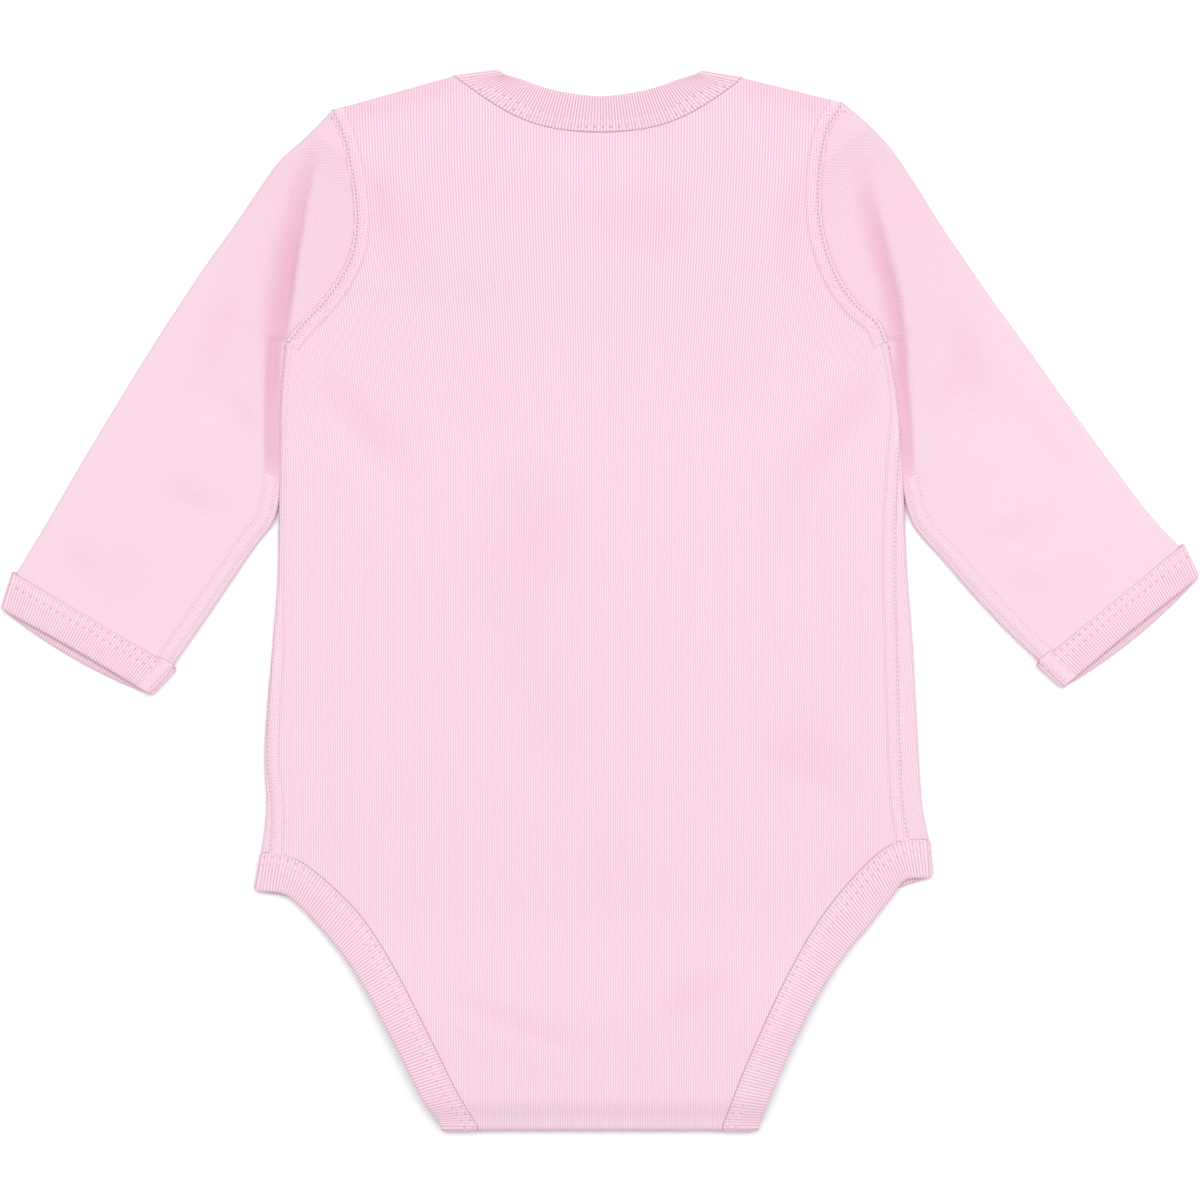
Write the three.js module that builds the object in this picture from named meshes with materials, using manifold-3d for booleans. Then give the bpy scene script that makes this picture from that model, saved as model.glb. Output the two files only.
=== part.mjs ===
// A baby's long-sleeve bodysuit in fine rib cotton, laid flat face down: the back is on top.
// Millimetres. X runs across the garment, Y from the crotch to the neck, Z up from the surface.
// Each cloth piece is a thin wall round a middle surface. The pieces lie on each other in layers
// and turn round soft folds at the shoulders, the sides, the sleeve edges and the crotch.

import * as THREE from "three";
import { mergeVertices } from "three/addons/utils/BufferGeometryUtils.js";
import Module from "manifold-3d";

const wasm = await Module();
wasm.setup();

// Driving dimensions

const clothThickness = 1.0; // one layer of rib cotton with its loft
const bandThickness = 1.8; // rib band folded double
const seamGap = 0.3; // between two pieces at a seam
const bandGap = 0.42; // between a panel's edge and the middle of its thicker band
const foldSteps = 4; // faces round each soft fold
const panelColumns = 22; // faces across a body panel
const shoulderColumns = 4; // of these, faces across one shoulder
const frontNeckColumns = [2, 2, 2, 2, 3]; // the same on half the front neck, from centre to armhole
const sleeveColumns = 7; // faces across one layer of a sleeve

// Middle heights of the layers above the surface
const height = {
  floor: 0.5, // a single layer on the surface
  bandOnFloor: 0.9, // a band on the surface
  back: 2.6, // the back panel over the front panel
  backSide: 3.2, // the back panel beside the side folds
  backShoulder: 4.7, // the back panel over the lapped shoulders
  frontShoulder: 3.0, // the front panel on the shoulder laps
  backNeck: 1.25, // the back neck, where nothing lies under it
  frontTab: 1.3, // the front crotch tab on its snap caps
  backTab: 4.6, // the back crotch tab on the snaps
  backCrotch: 6.7, // the back panel over both tabs
  backFold: 4.2, // the back panel where it turns round the crotch
};

const crotchFold = -201.8; // lowest line of the garment
const snapLine = -176; // the row of snaps
const snapSpacing = 24;
const armpitY = 98;

// Rows of a table from its column names and its numbers
function table(columns, rows) {
  const names = columns.split(" ");
  return rows.map((row) => Object.fromEntries(row.map((value, i) => [names[i], value])));
}

// Distances from the centre line are positive outwards on both sides.

// The folded side edge, and how far the side seam lies inside it on the back
const bodyEdge = table("y left right seamLeft seamRight", [
  [98, 120.5, 114.8, 2.4, 2.4],
  [76, 121.2, 118.0, 2.4, 2.8],
  [53, 121.6, 117.4, 2.4, 3.0],
  [30, 122.0, 115.9, 2.4, 3.2],
  [8, 122.5, 117.0, 2.6, 4.0],
  [-15, 124.3, 118.8, 3.6, 5.5],
  [-38, 126.5, 120.1, 5.5, 6.5],
  [-61, 127.7, 121.3, 5.6, 7.0],
  [-80, 127.0, 122.8, 5.2, 7.4],
  [-94, 128.6, 125.6, 5.8, 7.8],
  [-112, 131.8, 126.6, 6.2, 8.0],
]);

// The armhole seam, from the shoulder fold down to the armpit
const armhole = {
  left: table("x y", [
    [101.8, 186.2], [98.0, 177.5], [95.0, 166.1], [92.9, 154.5], [92.3, 142.5],
    [93.7, 132.5], [98.2, 122.6], [105.0, 113.0], [112.5, 105.2],
  ]),
  right: table("x y", [
    [92.7, 188.9], [86.8, 179.8], [84.0, 168.3], [83.0, 157.5], [83.2, 145.0],
    [85.5, 133.5], [90.2, 121.8], [97.2, 112.0], [105.5, 104.6],
  ]),
};

// The shoulder fold runs from the armhole to the neck seam
const shoulder = {
  left: { armholeX: 101.8, armholeY: 186.2, neckX: 55.9, neckY: 199.1 },
  right: { armholeX: 92.7, armholeY: 188.9, neckX: 54.6, neckY: 198.4 },
};

// Back neck: the seam and the free edge of the band, from the centre to the shoulder fold
const backNeck = table("seamX seamY freeX freeY", [
  [0, 177.8, 0, 191.6],
  [9.5, 178.2, 7.5, 192.3],
  [19.0, 179.5, 15.0, 193.5],
  [27.0, 181.6, 21.0, 194.9],
  [34.5, 184.9, 26.0, 196.4],
  [41.5, 189.0, 30.3, 198.0],
  [47.8, 193.3, 33.6, 199.0],
]);
const neckFoldFree = { x: 37.0, y: 202.1 }; // free edge of the band on the shoulder fold

// The shoulder lap under the fold: inward runs down from the fold, along from the armhole
const shoulderLap = table("inward seamAlong freeAlong freeInward", [
  [0, 44.0, 61.0, 2.6],
  [8.5, 37.5, 51.5, 14],
  [17, 29.5, 40.5, 26],
  [24, 20.5, 28, 36.5],
  [28.5, 10.5, 14, 42],
  [30, 0, 0, 43.5],
]);

// Front neck, from the centre to beside the armhole
const frontNeck = table("seamX seamY freeX freeY", [
  [0, 146, 0, 159.4],
  [20, 147, 18, 160.3],
  [40, 150.8, 36.5, 163.7],
  [58, 156, 54, 168.9],
  [74, 161.2, 71.5, 174.4],
]);
const frontNeckInward = { seam: 16.5, free: 3.2 }; // on the armhole, down from the fold

// Leg opening of the back, from the side seam to the crotch fold
const backLeg = {
  left: table("seamX seamY freeX freeY", [
    [122.8, -96.0, 125.2, -111.0], [114.3, -99.0, 119.0, -112.5], [106.8, -104.3, 114.0, -116.5],
    [99.2, -111.1, 108.2, -122.4], [91.7, -118.9, 101.5, -130.2], [84.2, -129.5, 95.3, -138.2],
    [76.7, -142.2, 88.6, -149.0], [69.2, -156.5, 81.5, -162.2], [61.7, -171.5, 74.2, -176.2],
    [54.2, -186.6, 67.2, -190.0],
  ]),
  right: table("seamX seamY freeX freeY", [
    [116.9, -90.9, 119.6, -105.8], [109.5, -93.4, 115.4, -107.0], [102.6, -98.8, 110.8, -113.0],
    [96.5, -105.0, 106.2, -118.8], [90.0, -112.5, 100.8, -125.5], [83.0, -122.0, 94.8, -132.5],
    [76.0, -133.6, 88.3, -141.5], [68.6, -147.5, 81.0, -153.2], [61.4, -162.8, 74.0, -167.2],
    [54.0, -179.8, 66.8, -183.2],
  ]),
};

// The back tab from the crotch fold to its end, under the back panel
const backTab = table("beyond seamHalf freeHalf", [
  [0, 46.4, 60.6],
  [5, 44.4, 58.4],
  [11, 42.2, 56.0],
  [18, 40.4, 54.0],
  [25, 39.2, 52.8],
  [31, 38.4, 52.0],
  [37, 38.0, 51.6],
]);

// Leg opening of the front, from its tab end to the hip. The right hip lies 5 mm higher.
const hipRise = 5;
const frontLeg = table("seamX seamY freeX freeY rise", [
  [38.0, -187.8, 51.5, -187.8, 0],
  [38.5, -176.0, 52.0, -176.0, 0],
  [40.5, -164.0, 54.0, -166.5, 0],
  [46.0, -150.5, 58.5, -156.0, 0],
  [54.5, -138.0, 66.0, -145.0, 0],
  [66.0, -126.5, 75.5, -135.8, 0.1],
  [79.5, -116.5, 86.8, -128.2, 0.3],
  [94.0, -108.0, 98.6, -121.2, 0.6],
  [109.0, -101.0, 111.8, -114.6, 0.85],
]);
const hip = { turnY: -97.4, seamY: -95.8, freeTurnY: -110.8, freeSeamY: -111.0 };

// Outer edge of each sleeve, from the shoulder to the wrist
const sleeveOuter = {
  left: table("x y", [
    [101.8, 186.2], [112.5, 175.4], [121.6, 167.2], [128.0, 158.6], [137.6, 144.4], [148.6, 129.2],
    [158.8, 114.0], [168.7, 98.8], [182.8, 76.0], [196.5, 53.2], [209.8, 30.4], [221.6, 10.6],
  ]),
  right: table("x y", [
    [92.7, 188.9], [100.3, 182.4], [107.9, 174.8], [118.9, 159.6], [128.4, 144.4], [138.7, 129.2],
    [149.3, 114.0], [160.4, 98.8], [176.7, 76.0], [193.4, 53.2], [210.9, 30.4], [219.9, 20.9],
  ]),
};

// Inner edge of each sleeve, from where it leaves the body to the wrist
const sleeveInner = {
  left: table("x y", [[124.8, 28.5], [129.8, 22.0], [139.8, 7.6], [150.1, -7.6], [162.2, -24.6]]),
  right: table("x y", [[118.6, 29.5], [130.0, 15.6], [143.6, 0.0], [155.5, -12.6], [166.9, -22.9]]),
};

// Heights of the sleeve's upper layer at its outer and inner fold, down the sleeve
const sleeveHeight = table("part outer inner", [
  [0, 4.7, 4.7],
  [0.15, 3.9, 4.4],
  [0.42, 3.1, 2.7],
  [0.6, 2.9, 2.3],
  [1, 3.1, 3.1],
]);

// Cuffs: corners of the seam and of the free edge, outer and inner
const cuff = {
  left: { seamOuter: [223.2, 10.9], seamInner: [161.0, -26.0], freeOuter: [227.7, -3.4], freeInner: [170.6, -36.2] },
  right: { seamOuter: [221.6, 21.5], seamInner: [165.8, -24.4], freeOuter: [227.7, 8.6], freeInner: [176.0, -33.4] },
};
const cuffPeek = 2.6; // how far the cuff's under layer shows beyond the upper one

// Largest folds of the sleeve heads: a trough from the shoulder to the armpit
const sleeveTrough = table("side x y depth width", [
  ["left", 111, 168, 0.2, 6],
  ["left", 117, 150, 0.9, 6],
  ["left", 122, 130, 1.3, 6],
  ["left", 126, 110, 1.3, 6],
  ["left", 127, 92, 0.6, 6],
  ["right", 100, 168, 0.2, 6],
  ["right", 103, 148, 1.0, 6],
  ["right", 107, 128, 1.2, 7],
  ["right", 113, 108, 1.2, 7],
  ["right", 120, 90, 0.6, 7],
]);

// Small helpers

const lerp = THREE.MathUtils.lerp;
const rise = (value, from, to) => THREE.MathUtils.smoothstep(value, from, to);
const fall = (value, from, to) => 1 - rise(value, from, to);
const outwards = { left: -1, right: 1 };
const sides = ["left", "right"];
const range = (count) => Array.from({ length: count + 1 }, (_, i) => i / count);

// A column of a table, between its rows
function between(rows, key, at, column) {
  const down = rows[0][key] > rows[rows.length - 1][key];
  const list = down ? [...rows].reverse() : rows;
  const last = list.length - 2;
  let i = list.findIndex((row, n) => n <= last && at <= list[n + 1][key]);
  if (i < 0) i = last;
  const t = (at - list[i][key]) / (list[i + 1][key] - list[i][key]);
  return lerp(list[i][column], list[i + 1][column], Math.min(Math.max(t, -1), 2));
}

// The plan point of a table row on one side
const plan = (side, x, y) => new THREE.Vector2(outwards[side] * x, y);

// A point at a part of the length of a line of plan points
function along(line, part) {
  const steps = line.slice(1).map((p, i) => p.distanceTo(line[i]));
  let rest = part * steps.reduce((a, b) => a + b, 0);
  for (let i = 0; i < steps.length; i++) {
    if (rest <= steps[i] || i === steps.length - 1) return line[i].clone().lerp(line[i + 1], rest / steps[i]);
    rest -= steps[i];
  }
}

const mix = (a, b, t) => a.clone().lerp(b, t);
const lift = (p, z) => new THREE.Vector3(p.x, p.y, z);

// Heights of the layers over the plan

// The front panel: on the surface, raised on the shoulder laps and on the snap caps
function frontHeight(x, y) {
  const onLaps = rise(Math.abs(x), 20, 40) * rise(y, 116, 134);
  const onCaps = fall(y, -160, -148);
  return height.floor + (height.frontShoulder - height.floor) * onLaps + (height.frontTab - height.floor) * onCaps;
}

// The back panel, over everything else
function backHeight(x, y) {
  const away = Math.abs(x);
  let z = lerp(height.back, height.backSide, rise(away, 70, 104));
  z = lerp(z, height.backNeck, fall(away, 20, 40) * rise(y, 164, 177));
  z = lerp(z, height.backShoulder, rise(away, 18, 38) * rise(y, 110, 134));
  z = lerp(z, height.backCrotch, fall(y, -163, -140));
  return lerp(z, height.backFold, fall(y, -199.5, -189));
}

// The back tab, from the crotch fold up onto the snaps
const tabHeight = (y) => lerp(height.bandOnFloor, height.backTab, rise(y, -200, -184));

// A point on a soft fold: line is where the turn starts on the lower layer, out points away
// from the cloth, and turn runs from 0 on the lower layer to 1 on the upper layer.
function foldPoint(line, out, low, high, turn) {
  const radius = (high - low) / 2;
  const angle = Math.PI * turn;
  const reach = radius * Math.sin(angle);
  return new THREE.Vector3(
    line.x + out.x * reach,
    line.y + out.y * reach,
    low + radius * (1 - Math.cos(angle)),
  );
}

// Walls

// A wall of even thickness round a middle surface made of patches, each a grid of points.
// Patches grow together where they share points, and a free edge gets a side face.
function wall(patches, thickness) {
  const points = [];
  const known = new Map();
  const faces = [];
  const indexOf = (p) => {
    const key = [p.x, p.y, p.z].map((v) => Math.round(v * 500)).join();
    if (!known.has(key)) known.set(key, points.push(p) - 1);
    return known.get(key);
  };
  const addFace = (a, b, c) => {
    if (a !== b && b !== c && c !== a) faces.push([a, b, c]);
  };
  for (const grid of patches)
    for (let i = 0; i + 1 < grid.length; i++)
      for (let j = 0; j + 1 < grid[i].length; j++) {
        const [a, b] = [indexOf(grid[i][j]), indexOf(grid[i][j + 1])];
        const [c, d] = [indexOf(grid[i + 1][j + 1]), indexOf(grid[i + 1][j])];
        addFace(a, b, c);
        addFace(a, c, d);
      }

  const normals = points.map(() => new THREE.Vector3());
  for (const [a, b, c] of faces) {
    const across = points[b].clone().sub(points[a]).cross(points[c].clone().sub(points[a]));
    for (const i of [a, b, c]) normals[i].add(across);
  }
  normals.forEach((n) => n.normalize());
  const outer = points.map((p, i) => p.clone().addScaledVector(normals[i], thickness / 2));
  const inner = points.map((p, i) => p.clone().addScaledVector(normals[i], -thickness / 2));

  const edges = new Set(faces.flatMap(([a, b, c]) => [`${a} ${b}`, `${b} ${c}`, `${c} ${a}`]));
  const triangles = [];
  for (const [a, b, c] of faces) {
    triangles.push(outer[a], outer[b], outer[c], inner[a], inner[c], inner[b]);
    for (const [p, q] of [[a, b], [b, c], [c, a]])
      if (!edges.has(`${q} ${p}`))
        triangles.push(outer[q], outer[p], inner[p], outer[q], inner[p], inner[q]);
  }
  return new THREE.BufferGeometry().setFromPoints(triangles);
}

// Shoulders

// One shoulder fold: its direction to the neck, its outward direction, and the line on which
// the cloth starts to turn, seen from above
function shoulderFrame(side) {
  const s = shoulder[side];
  const start = plan(side, s.armholeX, s.armholeY);
  const toNeck = plan(side, s.neckX, s.neckY).sub(start).normalize();
  const out = new THREE.Vector2(-toNeck.y, toNeck.x).multiplyScalar(-outwards[side]);
  const radius = (height.backShoulder - height.bandOnFloor) / 2;
  return { start, toNeck, out, inset: radius + clothThickness / 2 };
}

// The armhole point that lies a distance down from the line where the shoulder turns
function armholePoint(side, inward) {
  const frame = shoulderFrame(side);
  const line = armhole[side].map((row) => plan(side, row.x, row.y));
  const depth = (p) => -p.clone().sub(frame.start).dot(frame.out) - frame.inset;
  for (let i = 0; i + 1 < line.length; i++) {
    const [d, e] = [depth(line[i]), depth(line[i + 1])];
    if (inward <= e) return mix(line[i], line[i + 1], (inward - d) / (e - d));
  }
}

// A point of the lap, from its distance down from the fold and its distance from the armhole
function lapPoint(side, inward, alongFold) {
  return armholePoint(side, inward).addScaledVector(shoulderFrame(side).toNeck, alongFold);
}

// A point on the turn of the shoulder, with turn from 0 on top to 1 underneath
function shoulderTurn(side, from, to, turn) {
  const base = mix(from, to, turn);
  return foldPoint(base, shoulderFrame(side).out, height.bandOnFloor, height.backShoulder, 1 - turn);
}

// Where the neck seam meets the line on which the shoulder starts to turn
function neckCorner(side) {
  const frame = shoulderFrame(side);
  const s = shoulder[side];
  const inside = plan(side, backNeck[backNeck.length - 1].seamX, backNeck[backNeck.length - 1].seamY);
  const fold = plan(side, s.neckX, s.neckY);
  const slope = -inside.clone().sub(fold).dot(frame.out);
  return mix(fold, inside, frame.inset / slope);
}

// Where the free edge of the neck band meets that line
const neckFreeCorner = (side) =>
  plan(side, neckFoldFree.x, neckFoldFree.y).addScaledVector(shoulderFrame(side).out, -shoulderFrame(side).inset);

// Side folds

function edgeX(side, y) {
  return between(bodyEdge, "y", y, side);
}

const seamInset = (side, y) => between(bodyEdge, "y", y, side === "left" ? "seamLeft" : "seamRight");
const seamX = (side, y) => edgeX(side, y) - seamInset(side, y);

// The side fold at one level: the line where the turn starts, and its two heights
function sideFold(side, y, thickness) {
  const near = outwards[side] * (edgeX(side, y) - 2);
  const low = Math.max(frontHeight(near, y), thickness / 2);
  const high = backHeight(near, y);
  return { low, high, x: edgeX(side, y) - clothThickness / 2 - (high - low) / 2 };
}

function sideTurn(side, y, turn, thickness) {
  const fold = sideFold(side, y, thickness);
  return foldPoint(plan(side, fold.x, y), plan(side, 1, 0), fold.low, fold.high, turn);
}

const hipShift = (side) => (side === "right" ? hipRise : 0);

// Levels of the side rows, from the hip to the armpit
const sideLevels = [0, 0.08, 0.2, 0.34, 0.5, 0.66, 0.84, 1];

function sideLevel(side, part) {
  return lerp(hip.seamY + hipShift(side), armpitY, part);
}

// Points across a panel from its left to its right edge
function across(left, right, z) {
  return range(panelColumns).map((u) => {
    const p = mix(left, right, u);
    return lift(p, z(p.x, p.y));
  });
}

// A four-sided area between a bottom row, a top row and two side lines
function areaRows(bottom, top, leftLine, rightLine, z) {
  const last = leftLine.length - 1;
  return leftLine.map((left, i) => {
    const v = i / last;
    const right = rightLine[i];
    const corner = (u, row) => mix(row[0], row[row.length - 1], u);
    return range(panelColumns).map((u, j) => {
      const p = mix(left, right, u)
        .add(mix(bottom[j], top[j], v))
        .sub(mix(corner(u, bottom), corner(u, top), v));
      return lift(p, z(p.x, p.y));
    });
  });
}

// Back panel

function crotchTurn(x, turn) {
  const radius = (height.backFold - height.bandOnFloor) / 2;
  const line = new THREE.Vector2(x, crotchFold + clothThickness / 2 + radius);
  return foldPoint(line, new THREE.Vector2(0, -1), height.bandOnFloor, height.backFold, turn);
}
const crotchLine = crotchTurn(0, 0).y;

function backTopLine() {
  const corners = sides.map(neckCorner);
  const neck = [
    corners[0],
    ...[...backNeck].reverse().map((row) => plan("left", row.seamX, row.seamY)),
    ...backNeck.slice(1).map((row) => plan("right", row.seamX, row.seamY)),
    corners[1],
  ];
  const starts = sides.map((side) => armholePoint(side, 0));
  return [
    ...range(shoulderColumns).map((t) => mix(starts[0], corners[0], t)),
    ...neck.slice(1, -1),
    ...range(shoulderColumns).map((t) => mix(corners[1], starts[1], t)),
  ];
}

// The armhole edge of a panel, from the armpit up
const armholeUp = (side) => armhole[side].slice(1).map((row) => plan(side, row.x, row.y)).reverse();

function shoulderLapPatch(side, topLine) {
  const count = shoulderColumns;
  const top = side === "left" ? topLine.slice(0, count + 1) : topLine.slice(-count - 1).reverse();
  const lapRows = shoulderLap.slice(0, -1).map((row, i, all) => {
    const inward = i === all.length - 1 ? shoulderLap[shoulderLap.length - 1].inward : row.inward;
    const start = armholePoint(side, inward);
    const end = lapPoint(side, row.inward, row.seamAlong - seamGap);
    return range(count).map((t) => lift(mix(start, end, t), height.bandOnFloor));
  });
  const under = range(count).map((t) => lapPoint(side, 0, t * (shoulderLap[0].seamAlong - seamGap)));
  const turnRows = range(foldSteps).map((turn) => top.map((p, j) => shoulderTurn(side, p, under[j], turn)));
  const grid = [...turnRows, ...lapRows.slice(1)];
  return side === "left" ? grid : grid.map((row) => row.reverse());
}

function backPanel() {
  const tabRows = [...backTab].reverse().map((row) => {
    const y = crotchLine + row.beyond;
    return across(new THREE.Vector2(-row.seamHalf, y), new THREE.Vector2(row.seamHalf, y), (x, level) => tabHeight(level));
  });
  const half = backTab[0].seamHalf;
  const turnRows = range(foldSteps)
    .slice(1)
    .map((turn) => range(panelColumns).map((u) => crotchTurn(lerp(-half, half, u), turn)));
  const legRows = backLeg.left
    .map((row, i) => {
      const other = backLeg.right[i];
      return across(plan("left", row.seamX, row.seamY), plan("right", other.seamX, other.seamY), backHeight);
    })
    .reverse();
  const sideRows = sideLevels.slice(1).map((part) => {
    const [left, right] = sides.map((side) => {
      const y = sideLevel(side, part);
      return plan(side, seamX(side, y) - seamGap / 2, y);
    });
    return across(left, right, backHeight);
  });
  const top = backTopLine();
  const bottom = sideRows[sideRows.length - 1].map((p) => new THREE.Vector2(p.x, p.y));
  const [left, right] = sides.map((side, i) => [
    bottom[i * panelColumns],
    ...armholeUp(side),
    armholePoint(side, 0),
  ]);
  const yokeRows = areaRows(bottom, top, left, right, backHeight);
  const main = [...tabRows, ...turnRows, ...legRows, ...sideRows, ...yokeRows.slice(1)];
  return [main, ...sides.map((side) => shoulderLapPatch(side, top))];
}

// Front panel

function frontLegRows() {
  return frontLeg.map((row) => {
    const [left, right] = sides.map((side) => plan(side, row.seamX, row.seamY + row.rise * hipShift(side)));
    return across(left, right, frontHeight);
  });
}

// The side margin, which turns up round the side fold to the side seam on the back
function marginPatch(side) {
  const grid = sideLevels.map((part) => {
    const y = sideLevel(side, part);
    const slope = part === 0 ? hip.turnY - hip.seamY : 0;
    const turned = range(foldSteps).map((turn) => sideTurn(side, y + slope * (1 - turn), turn, clothThickness));
    const end = plan(side, seamX(side, y) + seamGap / 2, y);
    return [...turned, lift(end, backHeight(end.x, end.y))];
  });
  return side === "left" ? grid.map((row) => row.reverse()) : grid;
}

function frontTopLine() {
  const ends = sides.map((side) => armholePoint(side, frontNeckInward.seam + seamGap));
  const line = [
    ends[0],
    ...[...frontNeck].reverse().map((row) => plan("left", row.seamX, row.seamY)),
    ...frontNeck.slice(1).map((row) => plan("right", row.seamX, row.seamY)),
    ends[1],
  ];
  const counts = [...frontNeckColumns].reverse().concat(frontNeckColumns);
  const points = counts.flatMap((count, i) => range(count).slice(0, -1).map((t) => mix(line[i], line[i + 1], t)));
  return [...points, ends[1]];
}

function frontPanel() {
  const sideRows = sideLevels.map((part) => {
    const [left, right] = sides.map((side) => {
      const y = sideLevel(side, part) + (part === 0 ? hip.turnY - hip.seamY : 0);
      return plan(side, sideFold(side, y, clothThickness).x, y);
    });
    return across(left, right, frontHeight);
  });
  const bottom = sideRows[sideRows.length - 1].map((p) => new THREE.Vector2(p.x, p.y));
  const top = frontTopLine();
  const [left, right] = sides.map((side, i) => [
    bottom[i * panelColumns],
    ...armholeUp(side).slice(0, -2),
    top[i * panelColumns],
  ]);
  const yokeRows = areaRows(bottom, top, left, right, frontHeight);
  return [[...frontLegRows(), ...sideRows, ...yokeRows.slice(1)], ...sides.map(marginPatch)];
}

// Sleeves

// The sleeve's stations: the first ones end on the armhole, the others on the inner fold
function sleeveStations(side) {
  const seam = armhole[side].slice(1).map((row) => plan(side, row.x, row.y));
  const corner = plan(side, seamX(side, armpitY) + 1.2, armpitY + 1.6);
  const body = [95, 80, 62, 45].map((y) => plan(side, edgeX(side, y) + seamGap + 0.1, y));
  const free = sleeveInner[side].map((row) => plan(side, row.x, row.y));
  const fold = [...body, ...free];
  const fullFree = [0, 0.14, 0.33, 0.52, 0.7, 0.85, 0.95, 1].map((t) => along(free, t));
  const inner = [plan(side, armhole[side][0].x, armhole[side][0].y), ...seam, corner, ...body, ...fullFree];
  const steps = inner.map((p, i) => (i ? p.distanceTo(inner[i - 1]) : 0));
  const total = steps.reduce((a, b) => a + b, 0);
  const outer = sleeveOuter[side].map((row) => plan(side, row.x, row.y));
  let run = 0;
  return inner.map((p, i) => {
    run += steps[i];
    const part = run / total;
    return { part, inner: p, outer: along(outer, part), onFold: i > seam.length + 1, isLast: i === inner.length - 1 };
  });
}

// Direction away from the sleeve at an edge point, from the neighbours on that edge
function edgeOut(side, before, after, sign) {
  const run = after.clone().sub(before).normalize();
  return new THREE.Vector2(-run.y, run.x).multiplyScalar(sign * outwards[side]);
}

function troughDepth(side, p) {
  const line = sleeveTrough.filter((row) => row.side === side);
  let depth = 0;
  for (let i = 0; i + 1 < line.length; i++)
    for (const t of range(4)) {
      const at = plan(side, lerp(line[i].x, line[i + 1].x, t), lerp(line[i].y, line[i + 1].y, t));
      const here = lerp(line[i].depth, line[i + 1].depth, t);
      const width = lerp(line[i].width, line[i + 1].width, t);
      depth = Math.max(depth, here * Math.exp(-((p.distanceTo(at) / width) ** 2)));
    }
  return depth;
}

function sleeve(side) {
  const stations = sleeveStations(side);
  const frame = shoulderFrame(side);
  const last = stations.length - 1;
  const rows = [];
  const closing = [];
  stations.forEach((station, i) => {
    const before = stations[Math.max(i - 1, 0)];
    const after = stations[Math.min(i + 1, last)];
    const low = station.isLast ? height.bandOnFloor : height.floor;
    const highOuter = between(sleeveHeight, "part", station.part, "outer");
    const out = i === 0 ? frame.out : edgeOut(side, before.outer, after.outer, 1);
    const outerLine = station.outer.clone().addScaledVector(out, -clothThickness / 2 - (highOuter - low) / 2);
    if (i === 0) outerLine.addScaledVector(frame.toNeck, -seamGap);
    let innerLine = station.inner.clone();
    let highInner = between(sleeveHeight, "part", station.part, "inner");
    const into = edgeOut(side, before.inner, after.inner, -1);
    if (station.onFold) innerLine.addScaledVector(into, -clothThickness / 2 - (highInner - low) / 2);
    else {
      highInner = backHeight(innerLine.x, innerLine.y);
      innerLine.addScaledVector(into, -seamGap);
    }
    if (i === 0) {
      innerLine = outerLine.clone();
      highInner = highOuter;
    }
    const upper = range(sleeveColumns).map((t) => {
      const p = mix(innerLine, outerLine, t);
      const crown = 0.5 * Math.sin(Math.PI * t) * Math.min(i, 1);
      const edge = Math.min(1, 3 * t, 3 * (1 - t)) * Math.min(i, 1);
      return lift(p, lerp(highInner, highOuter, t) + crown - troughDepth(side, p) * edge);
    });
    const turn = range(foldSteps).slice(1, -1).map((t) => foldPoint(outerLine, out, low, highOuter, 1 - t));
    const lower = range(sleeveColumns).map((t) => lift(mix(outerLine, innerLine, t), low));
    rows.push([...upper, ...turn, ...lower]);
    if (station.onFold) closing.push(range(foldSteps).map((t) => foldPoint(innerLine, into, low, highInner, t)));
  });
  return [rows, closing];
}

// Bands

// A closed cuff: seam and free edge, each with an upper layer, a lower layer and two folds
function cuffBand(side) {
  const c = cuff[side];
  const point = ([x, y]) => plan(side, x, y);
  const ends = [point(c.seamOuter), point(c.seamInner), point(c.freeOuter), point(c.freeInner)];
  const down = ends[2].clone().add(ends[3]).sub(ends[0]).sub(ends[1]).normalize();
  const out = ends[0].clone().sub(ends[1]).normalize();
  const high = sleeveHeight[sleeveHeight.length - 1].outer;
  const low = height.bandOnFloor;
  const inset = clothThickness / 2 + (high - low) / 2;
  return range(3).map((t) => {
    const start = lerp(seamGap + 0.1, 0, t);
    const outer = mix(ends[0], ends[2], t).addScaledVector(out, -inset).addScaledVector(down, start);
    const inner = mix(ends[1], ends[3], t).addScaledVector(out, inset).addScaledVector(down, start);
    const upper = range(sleeveColumns).map((s) => lift(mix(inner, outer, s), high));
    const lower = range(sleeveColumns).map((s) => {
      const peek = cuffPeek * t * Math.sin(Math.PI * s) ** 0.7;
      return lift(mix(outer, inner, s).addScaledVector(down, peek), low);
    });
    const outerTurn = range(foldSteps).slice(1, -1).map((s) => foldPoint(outer, out, low, high, 1 - s));
    const innerTurn = range(foldSteps).slice(1, -1).map((s) => foldPoint(inner, out.clone().negate(), low, high, s));
    return [...upper, ...outerTurn, ...lower, ...innerTurn, upper[0]];
  });
}

// A band strip as rows of seam and free points; it starts just clear of the panel
function strip(pairs) {
  return pairs.map(([seamPoint, freePoint]) => {
    const width = seamPoint.distanceTo(freePoint);
    return [bandGap / width, 0.5, 1].map((t) => seamPoint.clone().lerp(freePoint, t));
  });
}

const bandHeight = (z) => (p) => lift(p, Math.max(height.bandOnFloor, z(p.x, p.y)));

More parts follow.
